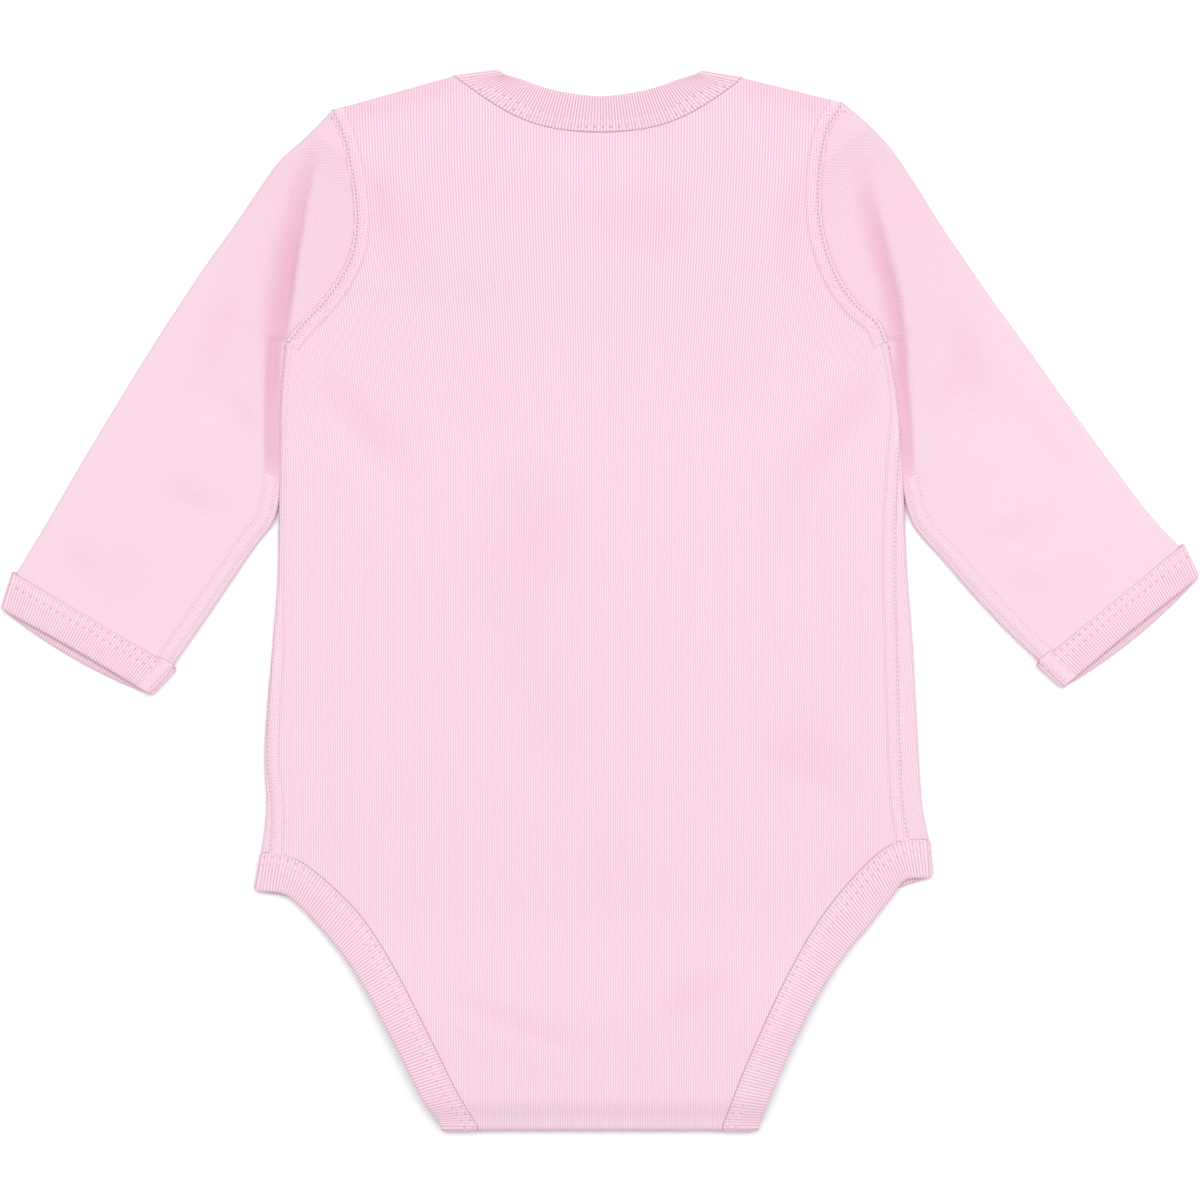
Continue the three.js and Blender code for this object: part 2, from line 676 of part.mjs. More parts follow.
function legBand(side) {
  const shift = hipShift(side);
  const onFront = bandHeight(frontHeight);
  const onBack = bandHeight(backHeight);
  const front = frontLeg.map((row) => [
    onFront(plan(side, row.seamX, row.seamY + row.rise * shift)),
    onFront(plan(side, row.freeX, row.freeY + row.rise * shift)),
  ]);
  const hipTurn = range(foldSteps).map((turn) => [
    sideTurn(side, lerp(hip.turnY, hip.seamY, turn) + shift, turn, bandThickness),
    sideTurn(side, lerp(hip.freeTurnY, hip.freeSeamY, turn) + shift, turn, bandThickness),
  ]);
  const back = backLeg[side].map((row) => [
    onBack(plan(side, row.seamX, row.seamY)),
    onBack(plan(side, row.freeX, row.freeY)),
  ]);
  const crotch = range(foldSteps).slice(0, -1).map((turn) => {
    const { seamHalf, freeHalf } = backTab[0];
    return [crotchTurn(outwards[side] * seamHalf, 1 - turn), crotchTurn(outwards[side] * freeHalf, 1 - turn)];
  });
  const tab = backTab.map((row) => {
    const y = crotchLine + row.beyond;
    return [row.seamHalf, row.freeHalf].map((x) => lift(plan(side, x, y), tabHeight(y)));
  });
  return strip([...front, ...hipTurn, ...back, ...crotch, ...tab]);
}

// Back neck band: over one shoulder lap, round the back neck and over the other lap
function backNeckHalf(side) {
  const onBack = bandHeight(backHeight);
  const top = backNeck.map((row) => [
    onBack(plan(side, row.seamX, row.seamY)),
    onBack(plan(side, row.freeX, row.freeY)),
  ]);
  const first = shoulderLap[0];
  const clear = 0.2; // the thick band leans towards the panel on the turn
  const corner = neckCorner(side).addScaledVector(shoulderFrame(side).toNeck, clear);
  const turn = range(foldSteps).map((t) => [
    shoulderTurn(side, corner, lapPoint(side, 0, first.seamAlong + clear), t),
    shoulderTurn(side, neckFreeCorner(side), lapPoint(side, first.freeInward, first.freeAlong), t),
  ]);
  const lap = shoulderLap.slice(1).map((row) => [
    lift(lapPoint(side, row.inward, row.seamAlong), height.bandOnFloor),
    lift(lapPoint(side, row.freeInward, row.freeAlong), height.bandOnFloor),
  ]);
  return [...top, ...turn, ...lap];
}

function backNeckBand() {
  return strip([...backNeckHalf("left").reverse(), ...backNeckHalf("right").slice(1)]);
}

function frontNeckHalf(side) {
  const onFront = bandHeight(frontHeight);
  const rows = frontNeck.map((row) => [
    onFront(plan(side, row.seamX, row.seamY)),
    onFront(plan(side, row.freeX, row.freeY)),
  ]);
  return [...rows, [frontNeckInward.seam, frontNeckInward.free].map((inward) => onFront(armholePoint(side, inward)))];
}

function frontNeckBand() {
  return strip([...frontNeckHalf("left").reverse(), ...frontNeckHalf("right").slice(1)]);
}

// Snaps

const snap = {
  capRadius: 4.75, capThickness: 0.5, shankRadius: 1.4, holeRadius: 1.8, bodyRadius: 4.2,
  socketBottom: 2.1, socketTop: 3.0, cavityRadius: 2.1, cavityFloor: 2.25,
  studTop: 3.8, studBottom: 3.3, nubRadius: 1.7, nubEnd: 2.6, innerCapBottom: 5.4,
};

// A turned part from its profile, listed from the axis at the bottom to the axis at the top
function turned(profile) {
  const lathe = new THREE.LatheGeometry(profile.map(([r, z]) => new THREE.Vector2(r, z)), 14);
  return lathe.rotateX(Math.PI / 2);
}

// Cap under the front tab, shank through it, and the socket on top of it
function snapSocket() {
  return turned([
    [0, 0], [snap.capRadius, 0], [snap.capRadius, snap.capThickness],
    [snap.shankRadius, snap.capThickness], [snap.shankRadius, snap.socketBottom],
    [snap.bodyRadius, snap.socketBottom], [snap.bodyRadius, snap.socketTop], [snap.cavityRadius, snap.socketTop],
    [snap.cavityRadius, snap.cavityFloor], [0, snap.cavityFloor],
  ]);
}

// Nub in the socket, flange under the back tab, shank through it, and the cap on top of it
function snapStud() {
  const top = snap.innerCapBottom + snap.capThickness;
  return turned([
    [0, snap.nubEnd], [snap.nubRadius, snap.nubEnd], [snap.nubRadius, snap.studBottom], [snap.bodyRadius, snap.studBottom],
    [snap.bodyRadius, snap.studTop], [snap.shankRadius, snap.studTop],
    [snap.shankRadius, snap.innerCapBottom], [snap.capRadius, snap.innerCapBottom],
    [snap.capRadius, top], [0, top],
  ]);
}

const snapX = [-snapSpacing, 0, snapSpacing];

// A solid of the boolean library from a geometry
function solidOf(geometry) {
  const bare = geometry.clone();
  bare.deleteAttribute("normal");
  bare.deleteAttribute("uv");
  const merged = mergeVertices(bare, 1e-3);
  return new wasm.Manifold(
    new wasm.Mesh({
      numProp: 3,
      vertProperties: merged.attributes.position.array,
      triVerts: new Uint32Array(merged.index.array),
    }),
  );
}

// The wall with a round hole for each snap between two heights
function pierced(geometry, from, to) {
  let solid = solidOf(geometry);
  for (const x of snapX) {
    const drill = new THREE.CylinderGeometry(snap.holeRadius, snap.holeRadius, to - from, 16);
    drill.rotateX(Math.PI / 2).translate(x, snapLine, (from + to) / 2);
    solid = solid.subtract(solidOf(drill));
  }
  const mesh = solid.getMesh();
  return new THREE.BufferGeometry()
    .setAttribute("position", new THREE.BufferAttribute(mesh.vertProperties, 3))
    .setIndex(new THREE.BufferAttribute(mesh.triVerts, 1));
}

// The garment

const ribCotton = { color: 0xfcd9e6, roughness: 0.92, metalness: 0 };
const ribBand = { color: 0xfbd3e2, roughness: 0.92, metalness: 0 };
const enamel = { color: 0xf6c6d8, roughness: 0.35, metalness: 0.1 };

const garment = new THREE.Group();

function add(name, geometry, finish, x = 0, y = 0) {
  const mesh = new THREE.Mesh(geometry, new THREE.MeshStandardMaterial(finish));
  mesh.name = name;
  mesh.position.set(x, y, 0);
  garment.add(mesh);
}

add("back_panel", pierced(wall(backPanel(), clothThickness), 3.4, 5.8), ribCotton);
add("front_panel", pierced(wall(frontPanel(), clothThickness), -0.2, 2.4), ribCotton);
add("neck_band_back", wall([backNeckBand()], bandThickness), ribBand);
add("neck_band_front", wall([frontNeckBand()], bandThickness), ribBand);
for (const side of sides) {
  add(`sleeve_${side}`, wall(sleeve(side), clothThickness), ribCotton);
  add(`cuff_band_${side}`, wall([cuffBand(side)], bandThickness), ribBand);
  add(`leg_band_${side}`, wall([legBand(side)], bandThickness), ribBand);
}
snapX.forEach((x, i) => {
  add(`snap_socket_${i + 1}`, snapSocket(), enamel, x, snapLine);
  add(`snap_stud_${i + 1}`, snapStud(), enamel, x, snapLine);
});

export default garment;
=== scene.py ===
import math

import bpy
import numpy as np
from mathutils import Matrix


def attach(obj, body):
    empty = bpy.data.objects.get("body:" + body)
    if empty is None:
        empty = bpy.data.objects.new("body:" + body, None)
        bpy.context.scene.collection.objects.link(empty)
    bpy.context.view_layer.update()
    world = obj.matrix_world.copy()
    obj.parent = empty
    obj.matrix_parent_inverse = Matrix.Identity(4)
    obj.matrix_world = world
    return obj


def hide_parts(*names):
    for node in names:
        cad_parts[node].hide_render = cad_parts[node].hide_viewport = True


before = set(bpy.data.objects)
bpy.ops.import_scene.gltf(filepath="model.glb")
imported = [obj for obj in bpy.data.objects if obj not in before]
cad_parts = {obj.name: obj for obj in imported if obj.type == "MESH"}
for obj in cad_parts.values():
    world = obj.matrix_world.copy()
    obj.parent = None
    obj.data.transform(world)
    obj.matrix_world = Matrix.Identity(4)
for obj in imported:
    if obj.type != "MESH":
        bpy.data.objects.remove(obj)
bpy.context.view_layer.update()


# Camera, light and floor
# The garment is photographed from straight above on a white table, under wide soft light.
# The square frame takes in 456 mm, from cuff to cuff.

frame_width = 0.456
camera_height = 2.4
sensor_width = 36
garment_level = 0.004
table_half = 2.5
table_level = -0.0002


def add_object(name, data):
    """Puts new data in the scene as an object at the origin."""
    thing = bpy.data.objects.new(name, data)
    bpy.context.scene.collection.objects.link(thing)
    return thing


def new_material(name):
    """A material with its nodes, its links and its shader."""
    material = bpy.data.materials.new(name)
    material.use_nodes = True
    nodes = material.node_tree.nodes
    return material, nodes, material.node_tree.links, nodes["Principled BSDF"]


def colour_mix(nodes, low, high):
    """A mix of two colours."""
    mix = nodes.new("ShaderNodeMix")
    mix.data_type = "RGBA"
    mix.inputs["A"].default_value = (*low, 1)
    mix.inputs["B"].default_value = (*high, 1)
    return mix


def wire(links, *wires):
    """Links nodes: each wire is a node, its output, the next node and its input."""
    for source, output, target, socket in wires:
        links.new(source.outputs[output], target.inputs[socket])


camera_data = bpy.data.cameras.new("camera")
camera_data.sensor_width = sensor_width
camera_data.lens = sensor_width * camera_height / frame_width
camera = add_object("camera", camera_data)
camera.location = (0, 0, camera_height + garment_level)
bpy.context.scene.camera = camera
bpy.context.scene.view_settings.view_transform = "Standard"


def softbox(name, place, size, power):
    """A wide area light that faces the garment."""
    light = bpy.data.lights.new(name, "AREA")
    light.size = size
    light.energy = power
    lamp = add_object(name, light)
    lamp.location = place
    x, y, z = place
    lamp.rotation_euler = (math.atan2(math.hypot(x, y), z), 0, math.atan2(x, -y))


softbox("key_light", (-0.5, 0.8, 2.5), 2.2, 43)
softbox("fill_light", (1.2, 0.6, 1.9), 1.6, 17)

world = bpy.data.worlds.new("studio")
world.use_nodes = True
sky = world.node_tree.nodes["Background"]
sky.inputs["Color"].default_value = (1, 1, 1, 1)
sky.inputs["Strength"].default_value = 0.6
bpy.context.scene.world = world

table_material, table_nodes, table_links, table_shader = new_material("white_table")
table_shader.inputs["Roughness"].default_value = 0.85
table_place = table_nodes.new("ShaderNodeTexCoord")
table_grain = table_nodes.new("ShaderNodeTexNoise")
table_grain.inputs["Scale"].default_value = 6
table_tone = colour_mix(table_nodes, (0.93, 0.93, 0.935), (0.96, 0.96, 0.96))
wire(
    table_links,
    (table_place, "Object", table_grain, "Vector"),
    (table_grain, "Fac", table_tone, "Factor"),
    (table_tone, "Result", table_shader, "Base Color"),
)

table_corners = [(x * table_half, y * table_half) for x, y in ((-1, -1), (1, -1), (1, 1), (-1, 1))]
table_mesh = bpy.data.meshes.new("table_top")
table_mesh.from_pydata([(x, y, table_level) for x, y in table_corners], [], [(0, 1, 2, 3)])
table_mesh.materials.append(table_material)
table_top = add_object("table_top", table_mesh)


# Back panel
# One piece of fine rib cotton from the snap tab over the seat to the shoulders, where it
# folds over to the front as two laps. Sizes are in millimetres, and distances from the
# centre line are positive outwards on both sides.

mm = 0.001
sides = ("left", "right")
outwards = {"left": -1, "right": 1}

cloth_half = 0.5
panel_columns = 132
shoulder_columns = 24
fold_steps = 9
crotch_fold = -201.8
armpit_y = 98
rib_pitch = 0.92
neck_rib_pitch = 1.08
weld_steps = 500
cloth_sharp = math.radians(55)
# Strength of the painted shade on the shoulder laps and beside the shoulder folds
lap_fold_shade = 0.3

# Middle heights of the layers above the table
floor_level = 0.5
band_level = 0.9
back_level = 2.6
side_level = 3.2
shoulder_level = 4.7
front_shoulder_level = 3.0
neck_level = 1.25
front_tab_level = 1.3
back_tab_level = 4.6
crotch_level = 6.7
fold_level = 4.2

# The folded side edge and the side seam inside it: y, left, right, seam left, seam right
body_edge_rows = [
    (-112, 131.8, 126.6, 6.4, 10.6),
    (-94, 128.6, 125.6, 5.6, 10.2),
    (-80, 127.0, 122.8, 4.6, 9.8),
    (-61, 127.7, 121.3, 3.6, 9.4),
    (-38, 126.5, 120.1, 3.0, 9.0),
    (-15, 124.3, 118.8, 2.6, 8.3),
    (8, 122.5, 117.0, 2.4, 7.2),
    (30, 122.0, 115.9, 2.4, 5.9),
    (53, 121.6, 115.1, 2.4, 4.0),
    (76, 121.3, 113.0, 2.4, 2.6),
    (98, 119.4, 109.4, 2.4, 2.4),
]

# The armhole seam, from the shoulder fold down to the armpit
armhole_rows = {
    "left": [
        (101.8, 186.2), (98.0, 177.5), (95.0, 166.1), (92.9, 154.5), (92.3, 142.5),
        (93.7, 132.5), (98.2, 122.6), (105.0, 113.0), (112.5, 105.2),
    ],
    "right": [
        (92.7, 188.9), (86.8, 179.8), (84.0, 168.3), (83.0, 157.5), (83.2, 145.0),
        (85.5, 133.5), (90.2, 121.8), (97.2, 112.0), (105.5, 104.6),
    ],
}
shoulder_ends = {
    "left": ((101.8, 186.2), (55.9, 199.1)),
    "right": ((92.7, 188.9), (54.6, 198.4)),
}

# Back neck: seam x, seam y, free edge x, free edge y
back_neck_rows = [
    (0, 177.8, 0, 191.6), (9.5, 178.2, 7.5, 192.3), (19.0, 179.5, 15.0, 193.5),
    (27.0, 181.6, 21.0, 194.9), (34.5, 184.9, 26.0, 196.4), (41.5, 189.0, 30.3, 198.0),
    (47.8, 193.3, 33.6, 199.0),
]

# The lap under the shoulder fold: inwards, seam along, free edge along, free edge inwards.
# The right shoulder is the narrower one in the photograph.
lap_reach = {"left": 1.0, "right": 0.84}
lap_rows = [
    (0, 44.0, 61.0, 2.6), (8.5, 37.5, 51.5, 14), (17, 29.5, 40.5, 26),
    (24, 20.5, 28, 36.5), (28.5, 10.5, 14, 42), (30, 0, 0, 43.5),
]

# Leg opening of the back: seam x, seam y, free edge x, free edge y, from hip to crotch
back_leg_rows = {
    "left": [
        (122.8, -96.0, 125.2, -111.0), (114.3, -99.0, 119.0, -112.5),
        (106.8, -104.3, 114.0, -116.5), (99.2, -111.1, 108.2, -122.4),
        (91.7, -118.9, 101.5, -130.2), (84.2, -129.5, 95.3, -138.2),
        (76.7, -142.2, 88.6, -149.0), (69.2, -156.5, 81.5, -162.2),
        (61.7, -171.5, 74.2, -176.2), (54.2, -186.6, 67.2, -190.0),
    ],
    "right": [
        (116.9, -90.9, 119.6, -105.8), (109.5, -93.4, 115.4, -107.0),
        (102.6, -98.8, 110.8, -113.0), (96.5, -105.0, 106.2, -118.8),
        (90.0, -112.5, 100.8, -125.5), (83.0, -122.0, 94.8, -132.5),
        (76.0, -133.6, 88.3, -141.5), (68.6, -147.5, 81.0, -153.2),
        (61.4, -162.8, 74.0, -167.2), (54.0, -179.8, 66.8, -183.2),
    ],
}

# The back tab beyond the crotch fold: beyond, half width at the seam and at the free edge
back_tab_rows = [
    (0, 46.4, 60.6), (5, 44.4, 58.4), (11, 42.2, 56.0), (18, 40.4, 54.0),
    (25, 39.2, 52.8), (31, 38.4, 52.0), (37, 38.0, 51.6),
]
crotch_seam_half, crotch_free_half = back_tab_rows[0][1:]

# Soft folds of the back: from x, y to x, y, height, width
back_folds = [
    (-56, -150, -10, -170, -0.42, 6.5),
    (-48, -163, -2, -181, 0.3, 5.5),
    (20, -158, 52, -142, -0.3, 8.0),
    (-112, 88, -74, 52, -0.42, 9.0),
    (-104, 70, -84, 20, 0.28, 9.0),
    (106, 86, 72, 44, -0.38, 8.5),
    (101, 62, 90, -8, 0.24, 8.0),
    (-108, -78, -66, -62, 0.3, 9.0),
    (104, -72, 58, -54, -0.3, 10.0),
    (-40, 150, 34, 143, -0.22, 11.0),
    (-88, 168, -78, 132, -0.4, 6.5),
    (79, 170, 70, 128, -0.4, 7.0),
    (-30, 60, -22, -40, -0.2, 18.0),
    (36, 20, 44, -96, 0.22, 16.0),
]


def smooth(value, low, high):
    """A soft step from 0 at low to 1 at high."""
    part = np.clip((value - low) / (high - low), 0, 1)
    return part * part * (3 - 2 * part)


def through(rows, parts):
    """Rows at parts of the length of a soft curve through the given rows, as seen in plan."""
    rows = np.asarray(rows, float)
    run = np.append(0, np.cumsum(np.hypot(*np.diff(rows[:, :2], axis=0).T)))
    slope = np.gradient(rows, run, axis=0)
    at = np.asarray(parts) * run[-1]
    i = np.clip(np.searchsorted(run, at, side="right") - 1, 0, len(run) - 2)
    span = (run[i + 1] - run[i])[:, None]
    t = (at - run[i])[:, None] / span
    return (
        rows[i] * (1 + 2 * t) * (1 - t) ** 2
        + rows[i + 1] * t * t * (3 - 2 * t)
        + slope[i] * span * t * (1 - t) ** 2
        - slope[i + 1] * span * t * t * (1 - t)
    )


def parts(count):
    """Even parts from 0 to 1."""
    return np.linspace(0, 1, count + 1)


def between(at, places, table):
    """Rows of a table at places between its own, by straight lines."""
    table = np.asarray(table)
    columns = table.reshape(len(table), -1).T
    rows = np.stack([np.interp(at, places, column) for column in columns], -1)
    return rows.reshape(*np.shape(at), *table.shape[1:])


def run_along(points):
    """How far along their line the points lie."""
    return np.append(0, np.cumsum(np.linalg.norm(np.diff(points, axis=0), axis=1)))


body_edge = through(body_edge_rows, parts(240))
armhole = {side: through(armhole_rows[side], parts(200)) for side in sides}


def edge_x(side, y):
    """Where the side fold of the body lies."""
    return np.interp(y, body_edge[:, 0], body_edge[:, 1 if side == "left" else 2])


def seam_x(side, y):
    """Where the side seam lies."""
    return edge_x(side, y) - np.interp(y, body_edge[:, 0], body_edge[:, 3 if side == "left" else 4])


def soft_relief(x, y, folds):
    """Long shallow folds with tapering ends, and a slight unevenness all over."""
    lift = 0.07 * np.sin(x / 9.1 + 0.6 * np.sin(y / 23)) * np.sin(y / 13.7 + x / 41)
    lift = lift + 0.09 * np.sin(x / 17.3 - y / 29 + 1.3) * np.sin(y / 19.9 + 0.4)
    for from_x, from_y, to_x, to_y, height, width in folds:
        run_x = to_x - from_x
        run_y = to_y - from_y
        part = np.clip(((x - from_x) * run_x + (y - from_y) * run_y) / (run_x**2 + run_y**2), 0, 1)
        away = np.hypot(x - from_x - run_x * part, y - from_y - run_y * part)
        lift = lift + height * (0.3 + 0.7 * np.sin(math.pi * part)) * np.exp(-((away / width) ** 2))
    return lift


def front_height(x, y):
    """The front panel: on the table, the shoulder laps and the snap caps."""
    on_laps = smooth(abs(x), 20, 40) * smooth(y, 116, 134)
    on_caps = 1 - smooth(y, -160, -148)
    return (
        floor_level
        + (front_shoulder_level - floor_level) * on_laps
        + (front_tab_level - floor_level) * on_caps
    )


def back_height(x, y):
    """The back panel: over the front, the lapped shoulders and the tabs."""
    away = abs(x)
    z = back_level + (side_level - back_level) * smooth(away, 70, 104)
    z = z + (neck_level - z) * (1 - smooth(away, 16, 40)) * smooth(y, 153, 180)
    z = z + (shoulder_level - z) * smooth(away, 13, 37) * smooth(y, 98, 134)
    z = z + (crotch_level - z) * (1 - smooth(y, -166, -118))
    z = z + (fold_level - z) * (1 - smooth(y, -199.5, -189))
    return z + back_relief(x, y)


def back_relief(x, y):
    """The soft folds of the back, faded out towards its edges."""
    calm = smooth(y, -197, -182) * (1 - smooth(y, 160, 178)) * (1 - smooth(abs(x), 104, 118))
    return calm * soft_relief(x, y, back_folds)


def back_fold_shade(x, y):
    """Painted shade: how far the pink is darkened in the hollows of the back and towards the
    shoulder folds.
    """
    shade_amount = np.clip(-0.7 * back_relief(x, y) - 0.03, 0, 0.3)
    for side in sides:
        outward = x * outwards[side]
        rest = shoulders[side].inward(np.stack([outward, y], -1))
        near_fold = lap_fold_shade * (1 - smooth(rest, -2, 9)) * smooth(outward, 44, 60)
        shade_amount = np.maximum(shade_amount, near_fold)
    return shade_amount


def fold_point(line, out, low, high, turn):
    """Points on a soft fold, from turn 0 on the lower layer to 1 on the upper layer."""
    radius = (high - low) / 2
    angle = math.pi * np.asarray(turn)
    plan = line + out * (radius * np.sin(angle))[..., None]
    level = np.broadcast_to(low + radius * (1 - np.cos(angle)), plan.shape[:-1])
    return np.concatenate([plan, level[..., None]], -1)


def mixed(a, b, part):
    """Points a part of the way from a to b."""
    return a + (b - a) * np.asarray(part)[..., None]


def lifted(plan, level):
    """Points in plan with their height."""
    return np.concatenate([plan, np.broadcast_to(level, plan.shape[:-1])[..., None]], -1)


def on_side(points, side):
    """Outward distances turned into x."""
    turned = np.array(points, float)
    turned[..., 0] *= outwards[side]
    return turned


def faced(grids, side, flipped_side):
    """Grids whose rows are turned end for end on one side, so that the cloth faces outwards."""
    return [grid[:, ::-1] for grid in grids] if side == flipped_side else grids


def over_both(rows, left_end, right_end):
    """Knots from the left end to the right end, through rows given from the centre outwards."""
    knots = [left_end]
    knots += [on_side(row[:2], "left") for row in reversed(rows)]
    knots += [on_side(row[:2], "right") for row in rows[1:]]
    return knots + [right_end]


class ShoulderFold:
    """The fold of one shoulder: its direction to the neck, outwards, and where the turn starts."""

    def __init__(self, side):
        start, neck = np.array(shoulder_ends[side], float)
        self.start = start
        self.neck = neck
        self.to_neck = (neck - start) / np.linalg.norm(neck - start)
        self.out = np.array([self.to_neck[1], -self.to_neck[0]])
        self.radius = (shoulder_level - band_level) / 2
        self.inset = self.radius + cloth_half
        self.line = armhole[side]
        self.depth = -(self.line - start) @ self.out - self.inset

    def inward(self, points):
        """How far points lie down from the line on which the shoulder turns."""
        return -(points - self.start) @ self.out - self.inset

    def armhole_point(self, inward):
        """Where the armhole lies at a distance inward."""
        return between(inward, self.depth, self.line)

    def lap_point(self, inward, along):
        """Points of the lap, from the armhole along towards the neck."""
        return self.armhole_point(inward) + self.to_neck * np.asarray(along)[..., None]

    def turned(self, top, under, turn):
        """Points that turn over the fold, from the top layer to the lap under it."""
        base = mixed(top, under, turn)
        return fold_point(base, self.out, band_level, shoulder_level, 1 - turn)


shoulders = {side: ShoulderFold(side) for side in sides}


def neck_corner(side):
    """Where the neck seam meets the line on which the shoulder starts to turn."""
    fold = shoulders[side]
    inside = np.array(back_neck_rows[-1][:2])
    slope = -(inside - fold.neck) @ fold.out
    return fold.neck + (inside - fold.neck) * fold.inset / slope


def grain(plan):
    """Cloth coordinates of a body panel: the ribs run up it and open a little to the neck."""
    pitch = rib_pitch + (neck_rib_pitch - rib_pitch) * smooth(plan[..., 1], 40, 185)
    return np.stack([plan[..., 0] * rib_pitch / pitch, plan[..., 1]], -1)


def across(left, right, level_of):
    """Rows of points over a panel, from its left to its right edge."""
    plan = mixed(left[:, None], right[:, None], parts(panel_columns)[None])
    return lifted(plan, level_of(plan[..., 0], plan[..., 1]))


def area_rows(bottom, top, left, right, level_of):
    """A four-sided area between a bottom row, a top row and two side lines."""
    u = parts(panel_columns)[None]
    v = parts(len(left) - 1)[:, None]
    plan = mixed(left[:, None], right[:, None], u)
    plan = plan + mixed(bottom[None], top[None], v)
    low_row = mixed(bottom[0], bottom[-1], u)
    high_row = mixed(top[0], top[-1], u)
    plan = plan - mixed(low_row, high_row, v)
    return lifted(plan, level_of(plan[..., 0], plan[..., 1]))


def cloth_shell(name, patches, material, marks=None):
    """A closed wall of cloth. Each patch is a grid of middle points, cloth coordinates, and the
    thickness on either side of the middle. Patches grow together where their points meet.
    Marks are named values for each point, used by the cloth materials as painted shade: in needle
    holes and along seam creases, or in the hollows of folds."""
    points = np.concatenate([grid[0].reshape(-1, 3) for grid in patches])
    cloth = np.concatenate([grid[1].reshape(-1, 2) for grid in patches])
    halves = [
        np.concatenate([np.broadcast_to(grid[k], grid[0].shape[:2]).ravel() for grid in patches])
        for k in (2, 3)
    ]
    corners = []
    start = 0
    for grid in patches:
        rows, columns = grid[0].shape[:2]
        index = np.arange(rows * columns).reshape(rows, columns) + start
        a, b, c, d = index[:-1, :-1], index[:-1, 1:], index[1:, 1:], index[1:, :-1]
        corners.append(np.stack([a, b, c], -1).reshape(-1, 3))
        corners.append(np.stack([a, c, d], -1).reshape(-1, 3))
        start += rows * columns
    corners = np.concatenate(corners)
    keys = np.round(points * weld_steps).astype(np.int64)
    _, first, weld = np.unique(keys, axis=0, return_index=True, return_inverse=True)
    faces = weld.ravel()[corners]
    whole = (faces != np.roll(faces, 1, axis=1)).all(axis=1)
    corners = corners[whole]
    faces = faces[whole]
    middle = points[first]
    count = len(middle)
    a, b, c = (middle[faces[:, k]] for k in range(3))
    facing = np.cross(b - a, c - a)
    normals = np.zeros_like(middle)
    for k in range(3):
        np.add.at(normals, faces[:, k], facing)
    normals /= np.maximum(np.linalg.norm(normals, axis=1), 1e-9)[:, None]
    outside = middle + normals * halves[0][first][:, None]
    inside = middle - normals * halves[1][first][:, None]
    for wall in (outside, inside):
        wall[:, 2] = np.maximum(wall[:, 2], 0)

    edges = np.concatenate([faces[:, [0, 1]], faces[:, [1, 2]], faces[:, [2, 0]]])
    edge_corners = np.concatenate([corners[:, [0, 1]], corners[:, [1, 2]], corners[:, [2, 0]]])
    free = ~np.isin(edges[:, 0] * count + edges[:, 1], edges[:, 1] * count + edges[:, 0])
    p, q = edges[free].T
    cp, cq = edge_corners[free].T
    all_faces = np.concatenate([
        faces,
        faces[:, [0, 2, 1]] + count,
        np.stack([q, p, p + count], -1),
        np.stack([q, p + count, q + count], -1),
    ])
    all_corners = np.concatenate([
        corners,
        corners[:, [0, 2, 1]],
        np.stack([cq, cp, cp], -1),
        np.stack([cq, cp, cq], -1),
    ])
    mesh = bpy.data.meshes.new(name)
    mesh.from_pydata((np.concatenate([outside, inside]) * mm).tolist(), [], all_faces.tolist())
    layer = mesh.uv_layers.new(name="cloth")
    layer.data.foreach_set("uv", (cloth[all_corners.ravel()] * mm).ravel())
    for mark, grids in (marks or {}).items():
        values = np.concatenate([grid.ravel() for grid in grids])[first]
        layer = mesh.attributes.new(mark, "FLOAT", "POINT")
        layer.data.foreach_set("value", np.concatenate([values, values]))
    mesh.shade_smooth()
    mesh.set_sharp_from_angle(angle=cloth_sharp)
    mesh.materials.append(material)
    return add_object(name, mesh)


loop_pitch = 0.72
# Colours of painted shade: in the hollows of folds, and in needle holes and along seam creases
painted_fold_shade_pink = (0.67, 0.335, 0.45)
painted_hole_crease_shade_pink = (0.47, 0.19, 0.30)


